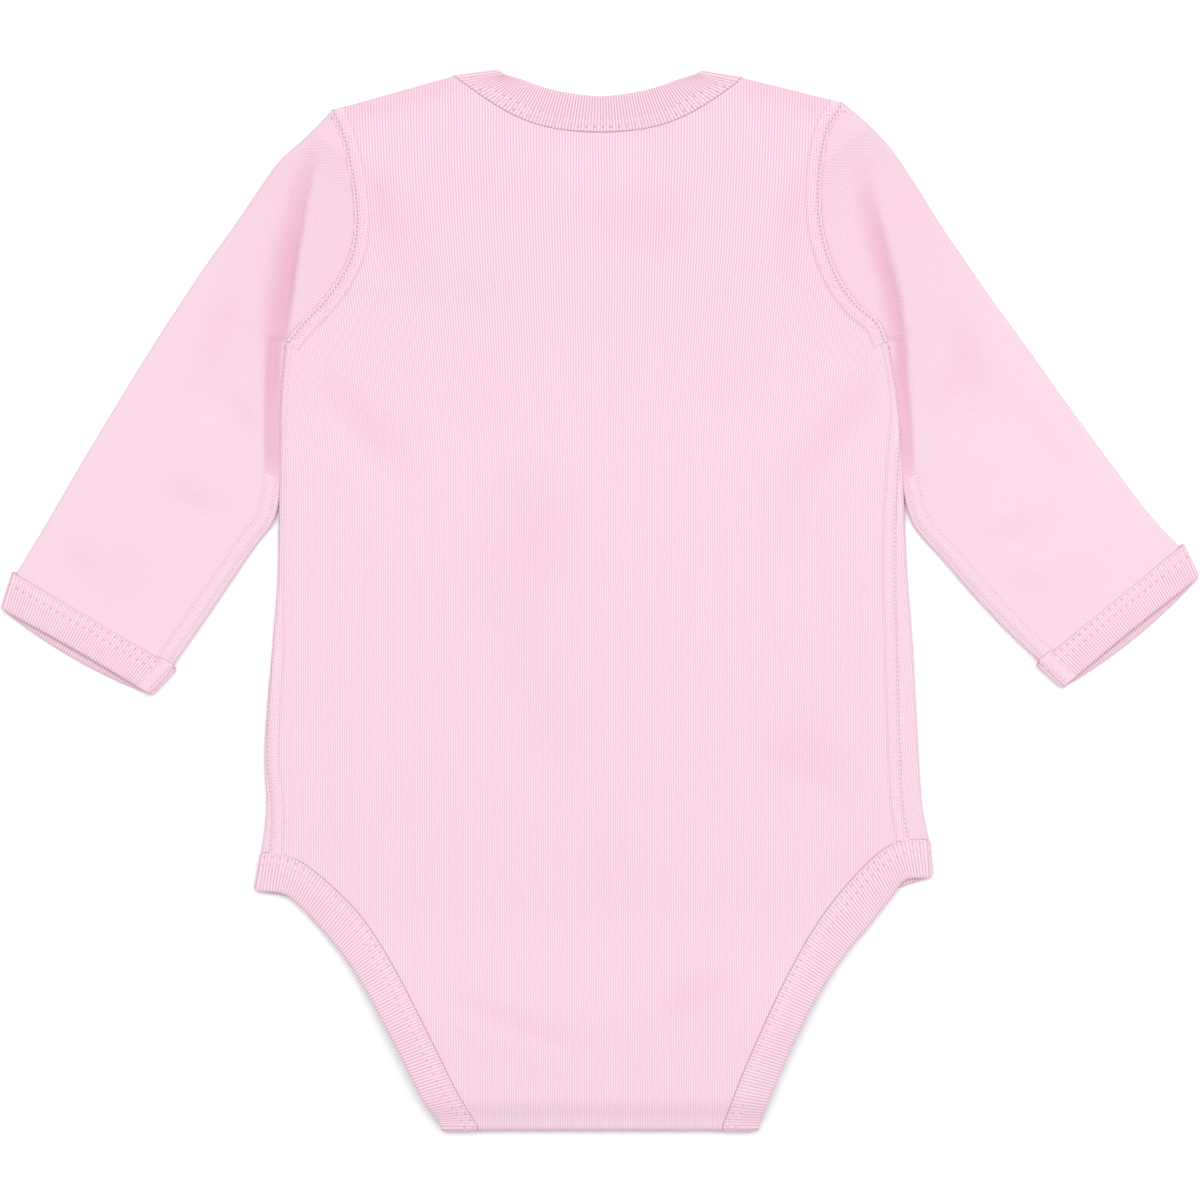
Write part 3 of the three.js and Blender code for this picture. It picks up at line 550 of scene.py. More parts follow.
def rib_knit(name, face, groove_shade, pitch, depth, calm=1.0, pressed=0):
    """Fine rib jersey: round ribs with narrow grooves, whose darker colour is painted shade, small
    stitch loops and soft fuzz. The ribs open towards the neck, calm down on the sleeves, and are
    pressed flat beside a band's seam. Painted shade also darkens the pink in the hollows of folds,
    in needle holes and along seam creases."""
    material, nodes, links, shader = new_material(name)
    shader.inputs["Roughness"].default_value = 0.92
    shader.inputs["Specular IOR Level"].default_value = 0.25
    shader.inputs["Sheen Weight"].default_value = 0.07
    shader.inputs["Sheen Roughness"].default_value = 0.45
    shader.inputs["Sheen Tint"].default_value = (1.0, 0.86, 0.93, 1)

    def value(operation, first, second=None, third=None):
        node = nodes.new("ShaderNodeMath")
        node.operation = operation
        for socket, item in zip(node.inputs, (first, second, third)):
            if item is None:
                continue
            if isinstance(item, (int, float)):
                socket.default_value = item
            else:
                links.new(item, socket)
        return node.outputs["Value"]

    def ranged(item, low, high, to_low, to_high):
        node = nodes.new("ShaderNodeMapRange")
        node.inputs["From Min"].default_value = low
        node.inputs["From Max"].default_value = high
        node.inputs["To Min"].default_value = to_low
        node.inputs["To Max"].default_value = to_high
        links.new(item, node.inputs["Value"])
        return node.outputs["Result"]

    def noise(scale, detail):
        node = nodes.new("ShaderNodeTexNoise")
        node.inputs["Scale"].default_value = scale
        node.inputs["Detail"].default_value = detail
        links.new(place.outputs["Object"], node.inputs["Vector"])
        return node.outputs["Fac"]

    place = nodes.new("ShaderNodeTexCoord")
    cloth = nodes.new("ShaderNodeUVMap")
    cloth.uv_map = "cloth"
    split = nodes.new("ShaderNodeSeparateXYZ")
    links.new(cloth.outputs["UV"], split.inputs["Vector"])
    wander = value("MULTIPLY", value("SUBTRACT", noise(45, 2), 0.5), 0.0009)
    rib_place = value("ADD", split.outputs["X"], wander)
    rib_turn = value("MULTIPLY", rib_place, 2 * math.pi / pitch)
    wave = value("MULTIPLY_ADD", value("COSINE", rib_turn), 0.5, 0.5)
    rib = value("POWER", wave, 0.6)
    slant = value(
        "MULTIPLY", value("ABSOLUTE", value("SINE", value("MULTIPLY", rib_turn, 0.5))), 2.2
    )
    loop_turn = value("MULTIPLY_ADD", split.outputs["Y"], 2 * math.pi / (loop_pitch * mm), slant)
    loop = value("MULTIPLY_ADD", value("SINE", loop_turn), 0.5, 0.5)
    fuzz = noise(5200, 3)
    cloudy = noise(38, 3)

    # Painted shade: the grooves between the ribs are coloured darker, more so towards the neck,
    # less on the sleeves and beside a band's seam.
    tone = colour_mix(nodes, groove_shade, face)
    where = nodes.new("ShaderNodeSeparateXYZ")
    links.new(place.outputs["Object"], where.inputs["Vector"])
    opened = ranged(where.outputs["Y"], 60 * mm, 150 * mm, 0.85, 1.25)
    on_sleeve = ranged(value("ABSOLUTE", where.outputs["X"]), 122 * mm, 150 * mm, 1.0, calm)
    spread = value("MULTIPLY", opened, on_sleeve)
    if pressed:
        flattened = ranged(
            split.outputs["Y"], (pressed - 0.8) * mm, (pressed + 0.8) * mm, 0.85, 1.08
        )
        spread = value("MULTIPLY", spread, flattened)
    shade = value("MULTIPLY", value("SUBTRACT", 1.0, rib), spread)
    links.new(value("SUBTRACT", 1.0, shade), tone.inputs["Factor"])
    uneven = nodes.new("ShaderNodeHueSaturation")
    links.new(tone.outputs["Result"], uneven.inputs["Color"])
    brightness = value("ADD", value("MULTIPLY", cloudy, 0.035), value("MULTIPLY", fuzz, 0.05))
    brightness = value("ADD", brightness, value("MULTIPLY", loop, 0.03))
    links.new(value("ADD", brightness, 0.944), uneven.inputs["Value"])
    links.new(value("MULTIPLY_ADD", cloudy, 0.14, 0.93), uneven.inputs["Saturation"])
    # Painted shade: the fold attribute darkens the pink in the hollows of folds.
    fold_shade = nodes.new("ShaderNodeAttribute")
    fold_shade.attribute_name = "fold"
    deep = colour_mix(nodes, face, painted_fold_shade_pink)
    links.new(value("MULTIPLY", fold_shade.outputs["Fac"], 0.75), deep.inputs["Factor"])
    # Painted shade: the needle attribute darkens the pink in needle holes and along seam creases.
    needle = nodes.new("ShaderNodeAttribute")
    needle.attribute_name = "needle"
    hole_crease_shaded = colour_mix(nodes, face, painted_hole_crease_shade_pink)
    wire(
        links,
        (uneven, "Color", deep, "A"),
        (needle, "Fac", hole_crease_shaded, "Factor"),
        (deep, "Result", hole_crease_shaded, "A"),
        (hole_crease_shaded, "Result", shader, "Base Color"),
    )

    relief = value("MULTIPLY_ADD", loop, 0.22, rib)
    relief = value("MULTIPLY_ADD", fuzz, 0.35, relief)
    bump = nodes.new("ShaderNodeBump")
    bump.inputs["Strength"].default_value = 0.75
    bump.inputs["Distance"].default_value = depth * mm
    links.new(relief, bump.inputs["Height"])
    links.new(bump.outputs["Normal"], shader.inputs["Normal"])
    return material


# The groove colour is painted shade between the ribs.
cotton_face = (0.80, 0.60, 0.69)
cotton_groove_shade = (0.71, 0.45, 0.555)
rib_cotton = rib_knit("rib_cotton", cotton_face, cotton_groove_shade, rib_pitch * mm, 0.15, calm=0.75)

crotch_radius = (fold_level - band_level) / 2
crotch_line = crotch_fold + cloth_half + crotch_radius


def tab_height(y):
    """The back tab, from the crotch fold up onto the snaps."""
    return band_level + (back_tab_level - band_level) * smooth(y, -200, -184)


def crotch_turn(x, turn):
    """Points on the crotch fold, from the tab to the back."""
    line = np.stack([x, np.full_like(x, crotch_line)], -1)
    return fold_point(line, np.array([0, -1.0]), band_level, fold_level, turn)


# The areas of the back, from the tab up to the neck: rows of points between two side lines
tab_half = through(back_tab_rows, parts(24))[::-1]
tab_y = crotch_line + tab_half[:, 0]
tab_left = np.stack([-tab_half[:, 1], tab_y], -1)
tab_right = np.stack([tab_half[:, 1], tab_y], -1)
tab_grid = across(tab_left, tab_right, lambda x, y: tab_height(y))
tab_cloth = np.stack(
    [tab_grid[..., 0], 2 * crotch_line - math.pi * crotch_radius - tab_grid[..., 1]], -1
)

# The turn round the crotch
turn_parts = parts(fold_steps)
turn_x = np.linspace(-crotch_seam_half, crotch_seam_half, panel_columns + 1)
turn_x = np.broadcast_to(turn_x, (fold_steps + 1, panel_columns + 1))
turn_grid = crotch_turn(turn_x, turn_parts[:, None])
turn_v = crotch_line - math.pi * crotch_radius * (1 - turn_parts[:, None])
turn_cloth = np.stack([turn_x, np.broadcast_to(turn_v, turn_x.shape)], -1)

leg_line = {}
for side in sides:
    knots = [(crotch_seam_half, crotch_line)] + [row[:2] for row in reversed(back_leg_rows[side])]
    leg_line[side] = on_side(through(knots, parts(60)), side)
leg_grid = across(leg_line["left"], leg_line["right"], back_height)

side_line = {}
for side in sides:
    side_y = np.linspace(leg_line[side][-1, 1], armpit_y, 66)
    side_x = seam_x(side, side_y)
    side_x = side_x + (abs(leg_line[side][-1, 0]) - side_x[0]) * (1 - parts(65)) ** 6
    side_line[side] = on_side(np.stack([side_x, side_y], -1), side)
side_grid = across(side_line["left"], side_line["right"], back_height)

top_start = {side: on_side(shoulders[side].armhole_point(0), side) for side in sides}
top_corner = {side: on_side(neck_corner(side), side) for side in sides}
neck_knots = over_both(back_neck_rows, top_corner["left"], top_corner["right"])
neck_line = through(neck_knots, parts(panel_columns - 2 * shoulder_columns))
shoulder_parts = parts(shoulder_columns)
top_line = np.concatenate([
    mixed(top_start["left"], top_corner["left"], shoulder_parts),
    neck_line[1:-1],
    mixed(top_corner["right"], top_start["right"], shoulder_parts),
])
yoke_side = {}
for side in sides:
    knots = [(abs(side_line[side][-1, 0]), armpit_y), *reversed(armhole_rows[side][1:])]
    knots += [shoulders[side].armhole_point(0)]
    yoke_side[side] = on_side(through(knots, parts(60)), side)
yoke_grid = area_rows(
    side_grid[-1, :, :2], top_line, yoke_side["left"], yoke_side["right"], back_height
)

back_patches = [
    (tab_grid, tab_cloth, cloth_half, cloth_half),
    (turn_grid, turn_cloth, cloth_half, cloth_half),
]
# Painted shade for each patch of the back: none on the tab and the crotch turn
back_fold_shades = [np.zeros(tab_grid.shape[:2]), np.zeros(turn_grid.shape[:2])]
for grid in (leg_grid, side_grid, yoke_grid):
    back_patches.append((grid, grain(grid), cloth_half, cloth_half))
    back_fold_shades.append(back_fold_shade(grid[..., 0], grid[..., 1]))

# The laps: the turn over each shoulder fold, and the flat end under it
lap_table = np.array(lap_rows, float)
lap_at = parts(24) * 4
lap_knots = np.column_stack([[0, 8.5, 17, 24, 30], lap_table[:5, :2]])
for side in sides:
    fold = shoulders[side]
    reach = lap_reach[side]
    seam_end = lap_table[0, 1] * reach
    top_row = mixed(fold.armhole_point(0), neck_corner(side), shoulder_parts)
    under_row = fold.lap_point(0, shoulder_parts * seam_end)
    turned = [fold.turned(top_row, under_row, np.full(len(top_row), t)) for t in turn_parts]
    turned = np.stack(turned)
    turned_plan = mixed(top_row[None], under_row[None], turn_parts[:, None])
    turned_cloth = turned_plan + fold.out * (math.pi * fold.radius * turn_parts)[:, None, None]
    start_in, end_in, end_along = between(lap_at, np.arange(5), lap_knots).T
    lap_start = fold.armhole_point(start_in)
    lap_end = fold.lap_point(end_in, end_along * reach)
    lap_plan = mixed(lap_start[:, None], lap_end[:, None], shoulder_parts[None])
    lap_grid = lifted(lap_plan, band_level)
    lap_cloth = lap_plan + fold.out * (2 * fold.inward(lap_plan) + math.pi * fold.radius)[..., None]
    for grid, cloth in ((turned, turned_cloth), (lap_grid, lap_cloth)):
        grid, cloth = faced((on_side(grid, side), grain(on_side(cloth, side))), side, "right")
        back_patches.append((grid, cloth, cloth_half, cloth_half))
        # The laps carry painted shade all over.
        back_fold_shades.append(np.full(grid.shape[:2], lap_fold_shade))

back_panel = cloth_shell("back_panel_cloth", back_patches, rib_cotton, {"fold": back_fold_shades})
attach(back_panel, "root")
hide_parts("back_panel")


# Front panel
# One piece of the same rib cotton, on the table. Its neck sits lower than the back's, its side
# margins turn up round the side folds to seams on the back, and its tab carries the snap sockets.

front_neck_rows = [
    (0, 146, 0, 159.4), (20, 147, 18, 160.3), (40, 150.8, 36.5, 163.7),
    (58, 156, 54, 168.9), (74, 161.2, 71.5, 174.4),
]
# Where the front neck band ends at the armhole, inward from the shoulder fold
front_neck_seam_in = 16.5
front_neck_free_in = 3.2

# Leg opening of the front: seam x, seam y, free x, free y, share of the hip's rise
front_leg_rows = [
    (38.0, -187.8, 51.5, -187.8, 0), (38.5, -176.0, 52.0, -176.0, 0),
    (40.5, -164.0, 54.0, -166.5, 0), (46.0, -150.5, 58.5, -156.0, 0),
    (54.5, -138.0, 66.0, -145.0, 0), (66.0, -126.5, 75.5, -135.8, 0.1),
    (79.5, -116.5, 86.8, -128.2, 0.3), (94.0, -108.0, 98.6, -121.2, 0.6),
    (109.0, -101.0, 111.8, -114.6, 0.85),
]
# The right hip lies higher in the photograph
hip_rise = {"left": 0, "right": 5}
hip_turn_y = -97.4
hip_free_y = -110.8
hip_slant = 1.6
margin_rows = 55


def side_fold(side, y, half):
    """The side fold at each level: where its turn starts, and its two heights."""
    near = outwards[side] * (edge_x(side, y) - 2)
    low = np.maximum(front_height(near, y), half)
    high = back_height(near, y)
    return edge_x(side, y) - cloth_half - (high - low) / 2, low, high


def side_turn(side, y, turn, half):
    """Points that turn round the side fold, from the front to the back."""
    x, low, high = side_fold(side, y, half)
    return fold_point(np.stack([x, y], -1), np.array([1.0, 0]), low, high, turn)


front_leg = {}
for side in sides:
    knots = np.array(front_leg_rows, float)
    knots[:, 1] += knots[:, 4] * hip_rise[side]
    knots[:, 3] += knots[:, 4] * hip_rise[side]
    hip_y = np.array([hip_turn_y + hip_rise[side]])
    hip_x = side_fold(side, hip_y, cloth_half)[0]
    free_y = np.array([hip_free_y + hip_rise[side]])
    free_x = side_fold(side, free_y, band_level)[0]
    front_leg[side] = np.vstack([knots[:, :4], [[hip_x[0], hip_y[0], free_x[0], free_y[0]]]])

front_leg_line = {side: on_side(through(front_leg[side][:, :2], parts(50)), side) for side in sides}
front_leg_grid = across(front_leg_line["left"], front_leg_line["right"], front_height)

front_side = {}
for side in sides:
    y = np.linspace(front_leg[side][-1, 1], armpit_y, 56)
    front_side[side] = on_side(np.stack([side_fold(side, y, cloth_half)[0], y], -1), side)
front_side_grid = across(front_side["left"], front_side["right"], front_height)

front_end = {side: shoulders[side].armhole_point(front_neck_seam_in) for side in sides}
front_corner = {side: on_side(front_end[side], side) for side in sides}
front_neck_knots = over_both(front_neck_rows, front_corner["left"], front_corner["right"])
front_top = through(front_neck_knots, parts(panel_columns))
front_yoke_side = {}
for side in sides:
    knots = [(abs(front_side[side][-1, 0]), armpit_y), *reversed(armhole_rows[side][3:])]
    knots += [front_end[side]]
    front_yoke_side[side] = on_side(through(knots, parts(44)), side)
front_yoke_grid = area_rows(
    front_side_grid[-1, :, :2],
    front_top,
    front_yoke_side["left"],
    front_yoke_side["right"],
    front_height,
)
front_patches = [
    (grid, grid[..., :2], cloth_half, cloth_half)
    for grid in (front_leg_grid, front_side_grid, front_yoke_grid)
]

# The side margins: round the side fold, then on the back to the side seam
for side in sides:
    level = parts(margin_rows)[:, None]
    turn = parts(fold_steps)[None]
    low_y = np.array([hip_turn_y + hip_rise[side]])
    turned_y = low_y + (armpit_y - low_y) * level
    turned_y = turned_y + hip_slant * turn * (1 - level) ** 12
    fold_x, low, high = side_fold(side, turned_y, cloth_half)
    turned = side_turn(side, turned_y, np.broadcast_to(turn, turned_y.shape), cloth_half)
    end_y = turned_y[:, -1:]
    end_x = seam_x(side, end_y) + 0.1
    steps = parts(3)[None, 1:]
    rest_x = fold_x[:, -1:] + (end_x - fold_x[:, -1:]) * steps
    rest_y = np.broadcast_to(end_y, rest_x.shape)
    rest = np.stack([rest_x, rest_y, back_height(outwards[side] * rest_x, rest_y)], -1)
    grid = np.concatenate([turned, rest], axis=1)
    arc = math.pi * (high - low) / 2 * turn
    cloth_x = np.concatenate([fold_x + arc, fold_x[:, -1:] * 2 + arc[:, -1:] - rest_x], axis=1)
    cloth = np.stack([cloth_x, grid[..., 1]], -1)
    grid, cloth = faced((on_side(grid, side), on_side(cloth, side)), side, "left")
    front_patches.append((grid, cloth, cloth_half, cloth_half))

front_panel = cloth_shell("front_panel_cloth", front_patches, rib_cotton)
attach(front_panel, "root")
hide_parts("front_panel")


# Seams
# Each seam of the body and the sleeves is sewn flat: a low strip of the same cotton with rows of
# needle holes, under a double zigzag of cover thread. The side seams join the front's margins
# to the back.

seam_step = 0.4
strip_half = 0.18
strip_rise = 0.3
strip_sink = 0.14
needle_width = 0.36
needle_share = 0.27
needle_depth = 0.2
zigzag_pitch = 1.15
thread_lift = 0.24


def node_tree(name, inputs):
    """An empty geometry tree with its named inputs, its first node and its last node."""
    tree = bpy.data.node_groups.new(name, "GeometryNodeTree")
    face = tree.interface
    for label, kind in (("Geometry", "Geometry"), *inputs):
        face.new_socket(name=label, in_out="INPUT", socket_type="NodeSocket" + kind)
    face.new_socket(name="Geometry", in_out="OUTPUT", socket_type="NodeSocketGeometry")
    return tree, tree.nodes.new("NodeGroupInput"), tree.nodes.new("NodeGroupOutput")


def cover_thread_tree():
    """Turns every line into one sewing thread of round section."""
    tree, given, made = node_tree(
        "cover_thread", (("Thread radius", "Float"), ("Thread", "Material"))
    )
    nodes = tree.nodes
    line = nodes.new("GeometryNodeMeshToCurve")
    section = nodes.new("GeometryNodeCurvePrimitiveCircle")
    section.inputs["Resolution"].default_value = 6
    sweep = nodes.new("GeometryNodeCurveToMesh")
    sweep.inputs["Fill Caps"].default_value = True
    round_off = nodes.new("GeometryNodeSetShadeSmooth")
    real = nodes.new("GeometryNodeRealizeInstances")
    finish = nodes.new("GeometryNodeSetMaterial")
    wire(
        tree.links,
        (given, "Geometry", line, "Mesh"),
        (given, "Thread radius", section, "Radius"),
        (line, "Curve", sweep, "Curve"),
        (section, "Curve", sweep, "Profile Curve"),
        (sweep, "Mesh", round_off, "Geometry"),
        (round_off, "Geometry", real, "Geometry"),
        (real, "Geometry", finish, "Geometry"),
        (given, "Thread", finish, "Material"),
        (finish, "Geometry", made, "Geometry"),
    )
    return tree


def from_lines(name, lines, ups, tree, settings):
    """Runs a node tree on open lines of points and keeps the result as a plain mesh."""
    points = np.concatenate(lines)
    edges = []
    start = 0
    for line in lines:
        edges += [(start + i, start + i + 1) for i in range(len(line) - 1)]
        start += len(line)
    draft = bpy.data.meshes.new(name + "_line")
    draft.from_pydata((points * mm).tolist(), edges, [])
    up = draft.attributes.new("up", "FLOAT_VECTOR", "POINT")
    up.data.foreach_set("vector", np.concatenate(ups).ravel())
    carrier = add_object(name + "_line", draft)
    modifier = carrier.modifiers.new("threads", "NODES")
    modifier.node_group = tree
    for item in tree.interface.items_tree:
        if item.in_out == "INPUT" and item.name in settings:
            modifier[item.identifier] = settings[item.name]
    seen = carrier.evaluated_get(bpy.context.evaluated_depsgraph_get())
    mesh = bpy.data.meshes.new_from_object(seen)
    mesh.name = name
    piece = add_object(name, mesh)
    carrier.modifiers.remove(modifier)
    bpy.data.objects.remove(carrier)
    return piece


def thread_material(name, colour):
    """Spun sewing thread: a fine twist in its tone and relief, with a slight gloss."""
    material, nodes, links, shader = new_material(name)
    shader.inputs["Roughness"].default_value = 0.7
    shader.inputs["Sheen Weight"].default_value = 0.2
    place = nodes.new("ShaderNodeTexCoord")
    twist = nodes.new("ShaderNodeTexWave")
    twist.bands_direction = "DIAGONAL"
    twist.inputs["Scale"].default_value = 900
    twist.inputs["Distortion"].default_value = 2
    tone = colour_mix(nodes, [c * 0.86 for c in colour], colour)
    bump = nodes.new("ShaderNodeBump")
    bump.inputs["Distance"].default_value = 0.04 * mm
    wire(
        links,
        (place, "Object", twist, "Vector"),
        (twist, "Fac", tone, "Factor"),
        (tone, "Result", shader, "Base Color"),
        (twist, "Fac", bump, "Height"),
        (bump, "Normal", shader, "Normal"),
    )
    return material


sewing_thread = thread_material("sewing_thread", (0.93, 0.71, 0.80))
cover_thread = cover_thread_tree()
thread_sizes = {"Thread radius": 0.15 * mm, "Thread": sewing_thread}


def flat_seam(name, surface, widths, cloth_of, needle_rows, zigzag):
    """A flat-lock seam: a low strip on the cloth, rows of needle holes (width, step, strength),
    and a double zigzag of cover thread between two widths. The surface has one row of points
    for each place along the seam and one column for each width."""
    widths = np.asarray(widths, float)
    run = run_along(surface[:, len(widths) // 2])
    at = np.linspace(0, run[-1], int(run[-1] / seam_step) + 1)
    grid = between(at, run, surface)
    centred = 2 * (widths - widths[0]) / (widths[-1] - widths[0]) - 1
    grid[..., 2] += strip_rise * (1 - centred**6) - strip_sink
    # Needle holes: dents in the strip, with painted shade in them through the needle attribute.
    marks = np.zeros(grid.shape[:2])
    for width, step, strength in needle_rows:
        turn = (at % step)[:, None]
        from_hole = np.minimum(turn, step - turn)
        across_hole = ((widths - width) / needle_width) ** 2
        hole = np.exp(-across_hole - (from_hole / (needle_share * step)) ** 2)
        marks = np.maximum(marks, strength * hole)
    grid[..., 2] -= needle_depth * marks
    half = np.full(grid.shape[:2], strip_half)
    strip = cloth_shell(
        name, [(grid, cloth_of(grid[..., :2]), half, half)], rib_cotton, {"needle": [marks]}
    )
    lines = []
    ups = []
    for first in (0, 1):
        count = int(at[-1] / zigzag_pitch)
        line = []
        for k in range(2 * count + 1):
            place = 0.3 + zigzag_pitch / 2 * k
            swing = (k + 2 * first) % 4
            width = zigzag[0] + (zigzag[1] - zigzag[0]) * (0.5 * swing if swing < 3 else 0.5)
            row = grid[min(int(round(place / seam_step)), len(grid) - 1)]
            line.append(between(width, widths, row))
        line = np.array(line) + (0, 0, thread_lift)
        lines.append(line)
        ups.append(np.tile((0, 0, 1.0), (len(line), 1)))
    threads = from_lines(f"{name}_thread", lines, ups, cover_thread, thread_sizes)
    for piece in (strip, threads):
        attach(piece, "root")
    return [strip, threads]


def round_side(side, y, x):
    """Points on the outside of the cloth at the side fold, with x measured along the cloth."""
    fold_x, low, high = side_fold(side, y, cloth_half)
    radius = (high - low) / 2 + cloth_half
    turn = np.clip((x - fold_x) / radius, 0, 2.2)
    flat = np.minimum(x, fold_x)
    on_back = back_height(outwards[side] * flat, y) + cloth_half
    level = np.where(turn > 0, (high + low) / 2 + radius * np.cos(turn), on_back)
    return np.stack([flat + radius * np.sin(turn), np.broadcast_to(y, flat.shape), level], -1)


side_seam_widths = np.linspace(-2.8, 2.8, 15)
side_seams = []
for side in sides:
    y = np.linspace(leg_line[side][-1, 1] - 0.7, armpit_y - 0.6, 160)[:, None]
    # The seam slips round the fold, on the left above the waist and on the right near the armpit.
    slip = 2.6 * (smooth(y, -28, 12) if side == "left" else smooth(y, 50, 78))
    surface = round_side(side, y, seam_x(side, y) + slip + side_seam_widths[None])
    side_seams += flat_seam(
        f"side_seam_{side}",
        on_side(surface, side),
        side_seam_widths,
        grain,
        [(-2.2, 1.7, 0.25), (2.2, 1.7, 0.6)],
        (-2.2, 1.7),
    )


# Sleeves
# Each sleeve is one piece of the same rib cotton, folded flat along its outer edge and sewn
# along its inner edge. Its ribs run down to the wrist and bend across the sleeve head.

sleeve_outer_rows = {
    "left": [
        (101.8, 186.2), (112.5, 175.4), (121.6, 167.2), (128.0, 158.6), (137.6, 144.4),
        (148.6, 129.2), (158.8, 114.0), (168.7, 98.8), (182.8, 76.0), (196.5, 53.2),
        (209.8, 30.4), (222.3, 9.5),
    ],
    "right": [
        (92.7, 188.9), (100.3, 182.4), (107.9, 174.8), (118.9, 159.6), (128.4, 144.4),
        (138.7, 129.2), (149.3, 114.0), (160.4, 98.8), (176.7, 76.0), (193.4, 53.2),
        (210.9, 30.4), (220.7, 19.9),
    ],
}
sleeve_inner_rows = {
    "left": [(124.8, 28.5), (129.8, 22.0), (139.8, 7.6), (150.1, -7.6), (162.9, -25.7)],
    "right": [(118.6, 29.5), (130.0, 15.6), (143.6, 0.0), (155.5, -12.6), (167.7, -23.9)],
}
# Share of the length, height of the upper layer at the outer and at the inner fold
sleeve_heights = [(0, 4.7, 4.7), (0.15, 3.9, 4.4), (0.42, 3.1, 2.7), (0.6, 2.9, 2.3), (1, 3.1, 3.1)]

# The deep fold of each sleeve head: x, y, depth, width towards the body, width outwards
sleeve_troughs = {
    "left": [
        (108.5, 172, 0.2, 3, 5), (110.8, 161, 1.0, 2.0, 5.5), (113.6, 146, 1.6, 1.7, 6.5),
        (115.6, 133, 2.0, 1.6, 7.5), (118.0, 118, 2.1, 1.7, 8), (120.2, 106, 2.0, 2.2, 7.5),
        (122.2, 94, 1.6, 3, 6), (123.8, 84, 0.9, 4, 5), (124.8, 74, 0.2, 4, 5),
    ],
    "right": [
        (98.5, 166, 0.2, 4, 4), (101.5, 154, 0.9, 5, 3), (105.2, 142, 1.5, 5.5, 2.2),
        (108.6, 130, 1.8, 5.5, 1.9), (111.6, 118.6, 2.0, 5, 1.8), (114.0, 104, 1.9, 5, 1.8),
        (115.6, 92, 1.4, 4.5, 1.8), (116.8, 80, 0.6, 4, 1.8), (117.5, 66, 0.2, 4, 1.8),
    ],
}
# Smaller folds of each sleeve: from x, y to x, y, height, width
sleeve_folds = {
    "left": [
        (124, 154, 131, 118, 0.35, 6), (140, 118, 152, 84, -0.3, 8), (142, 62, 160, 66, 0.3, 6),
        (138, 34, 170, 44, -0.35, 6), (160, 22, 186, 34, 0.25, 7), (176, 84, 190, 60, -0.25, 6),
        (190, 8, 206, 22, -0.25, 6), (128, 60, 142, 82, -0.3, 5),
    ],
    "right": [
        (112, 150, 122, 112, 0.35, 6), (134, 108, 146, 76, -0.35, 7), (132, 50, 158, 60, 0.3, 7),
        (140, 22, 166, 30, -0.3, 6), (166, 70, 184, 44, -0.22, 6), (170, 10, 190, 26, 0.28, 7),
        (152, 8, 172, 4, -0.25, 6), (126, 66, 136, 90, -0.3, 5),
    ],
}
sleeve_columns = 44
# The ribs run along the sleeve, and bend across it above these points
sleeve_axis = np.array([0.63, -0.78])
sleeve_across = np.array([0.78, 0.63])
sleeve_head = {"left": np.array([100, 145.0]), "right": np.array([90, 145.0])}
# Beside the body the sleeve lies low: its height there, and where its bank starts and ends
valley_level = 2.1
valley_bank = {"left": (5.2, 7.6), "right": (3.6, 5.6)}
# How far the sleeve reaches past the armhole seam, between the two panels
tuck_depth = 1.7


def trough_depth(side, plan):
    """How far the cloth sinks beside the sleeve head, with a steep and a gentle bank."""
    rows = through(sleeve_troughs[side], parts(60))
    x, y = plan[..., 0], plan[..., 1]
    away = np.hypot(x[..., None] - rows[:, 0], y[..., None] - rows[:, 1])
    near = np.argmin(away, axis=-1)
    row = rows[near]
    outward = x > row[..., 0]
    width = np.where(outward, row[..., 4], row[..., 3])
    return row[..., 2] * np.exp(-((away.min(axis=-1) / width) ** 2.6))


def sleeve_grain(side, plan):
    """Ribs along the sleeve, turning across it towards the armhole."""
    from_head = plan - sleeve_head[side]
    down = np.maximum(from_head @ sleeve_axis, -20)
    return from_head @ sleeve_across + 17 * np.exp(-down / 25), down


def eased(count, rows):
    """From 0 up to 1 over the first rows of a sleeve, at the shoulder."""
    return np.minimum(np.arange(count) / rows, 1)


def edge_out(line, sign):
    """Directions away from the sleeve along an edge line."""
    run = np.gradient(line, axis=0)
    run /= np.linalg.norm(run, axis=1)[:, None]
    return np.stack([-run[:, 1], run[:, 0]], -1) * sign


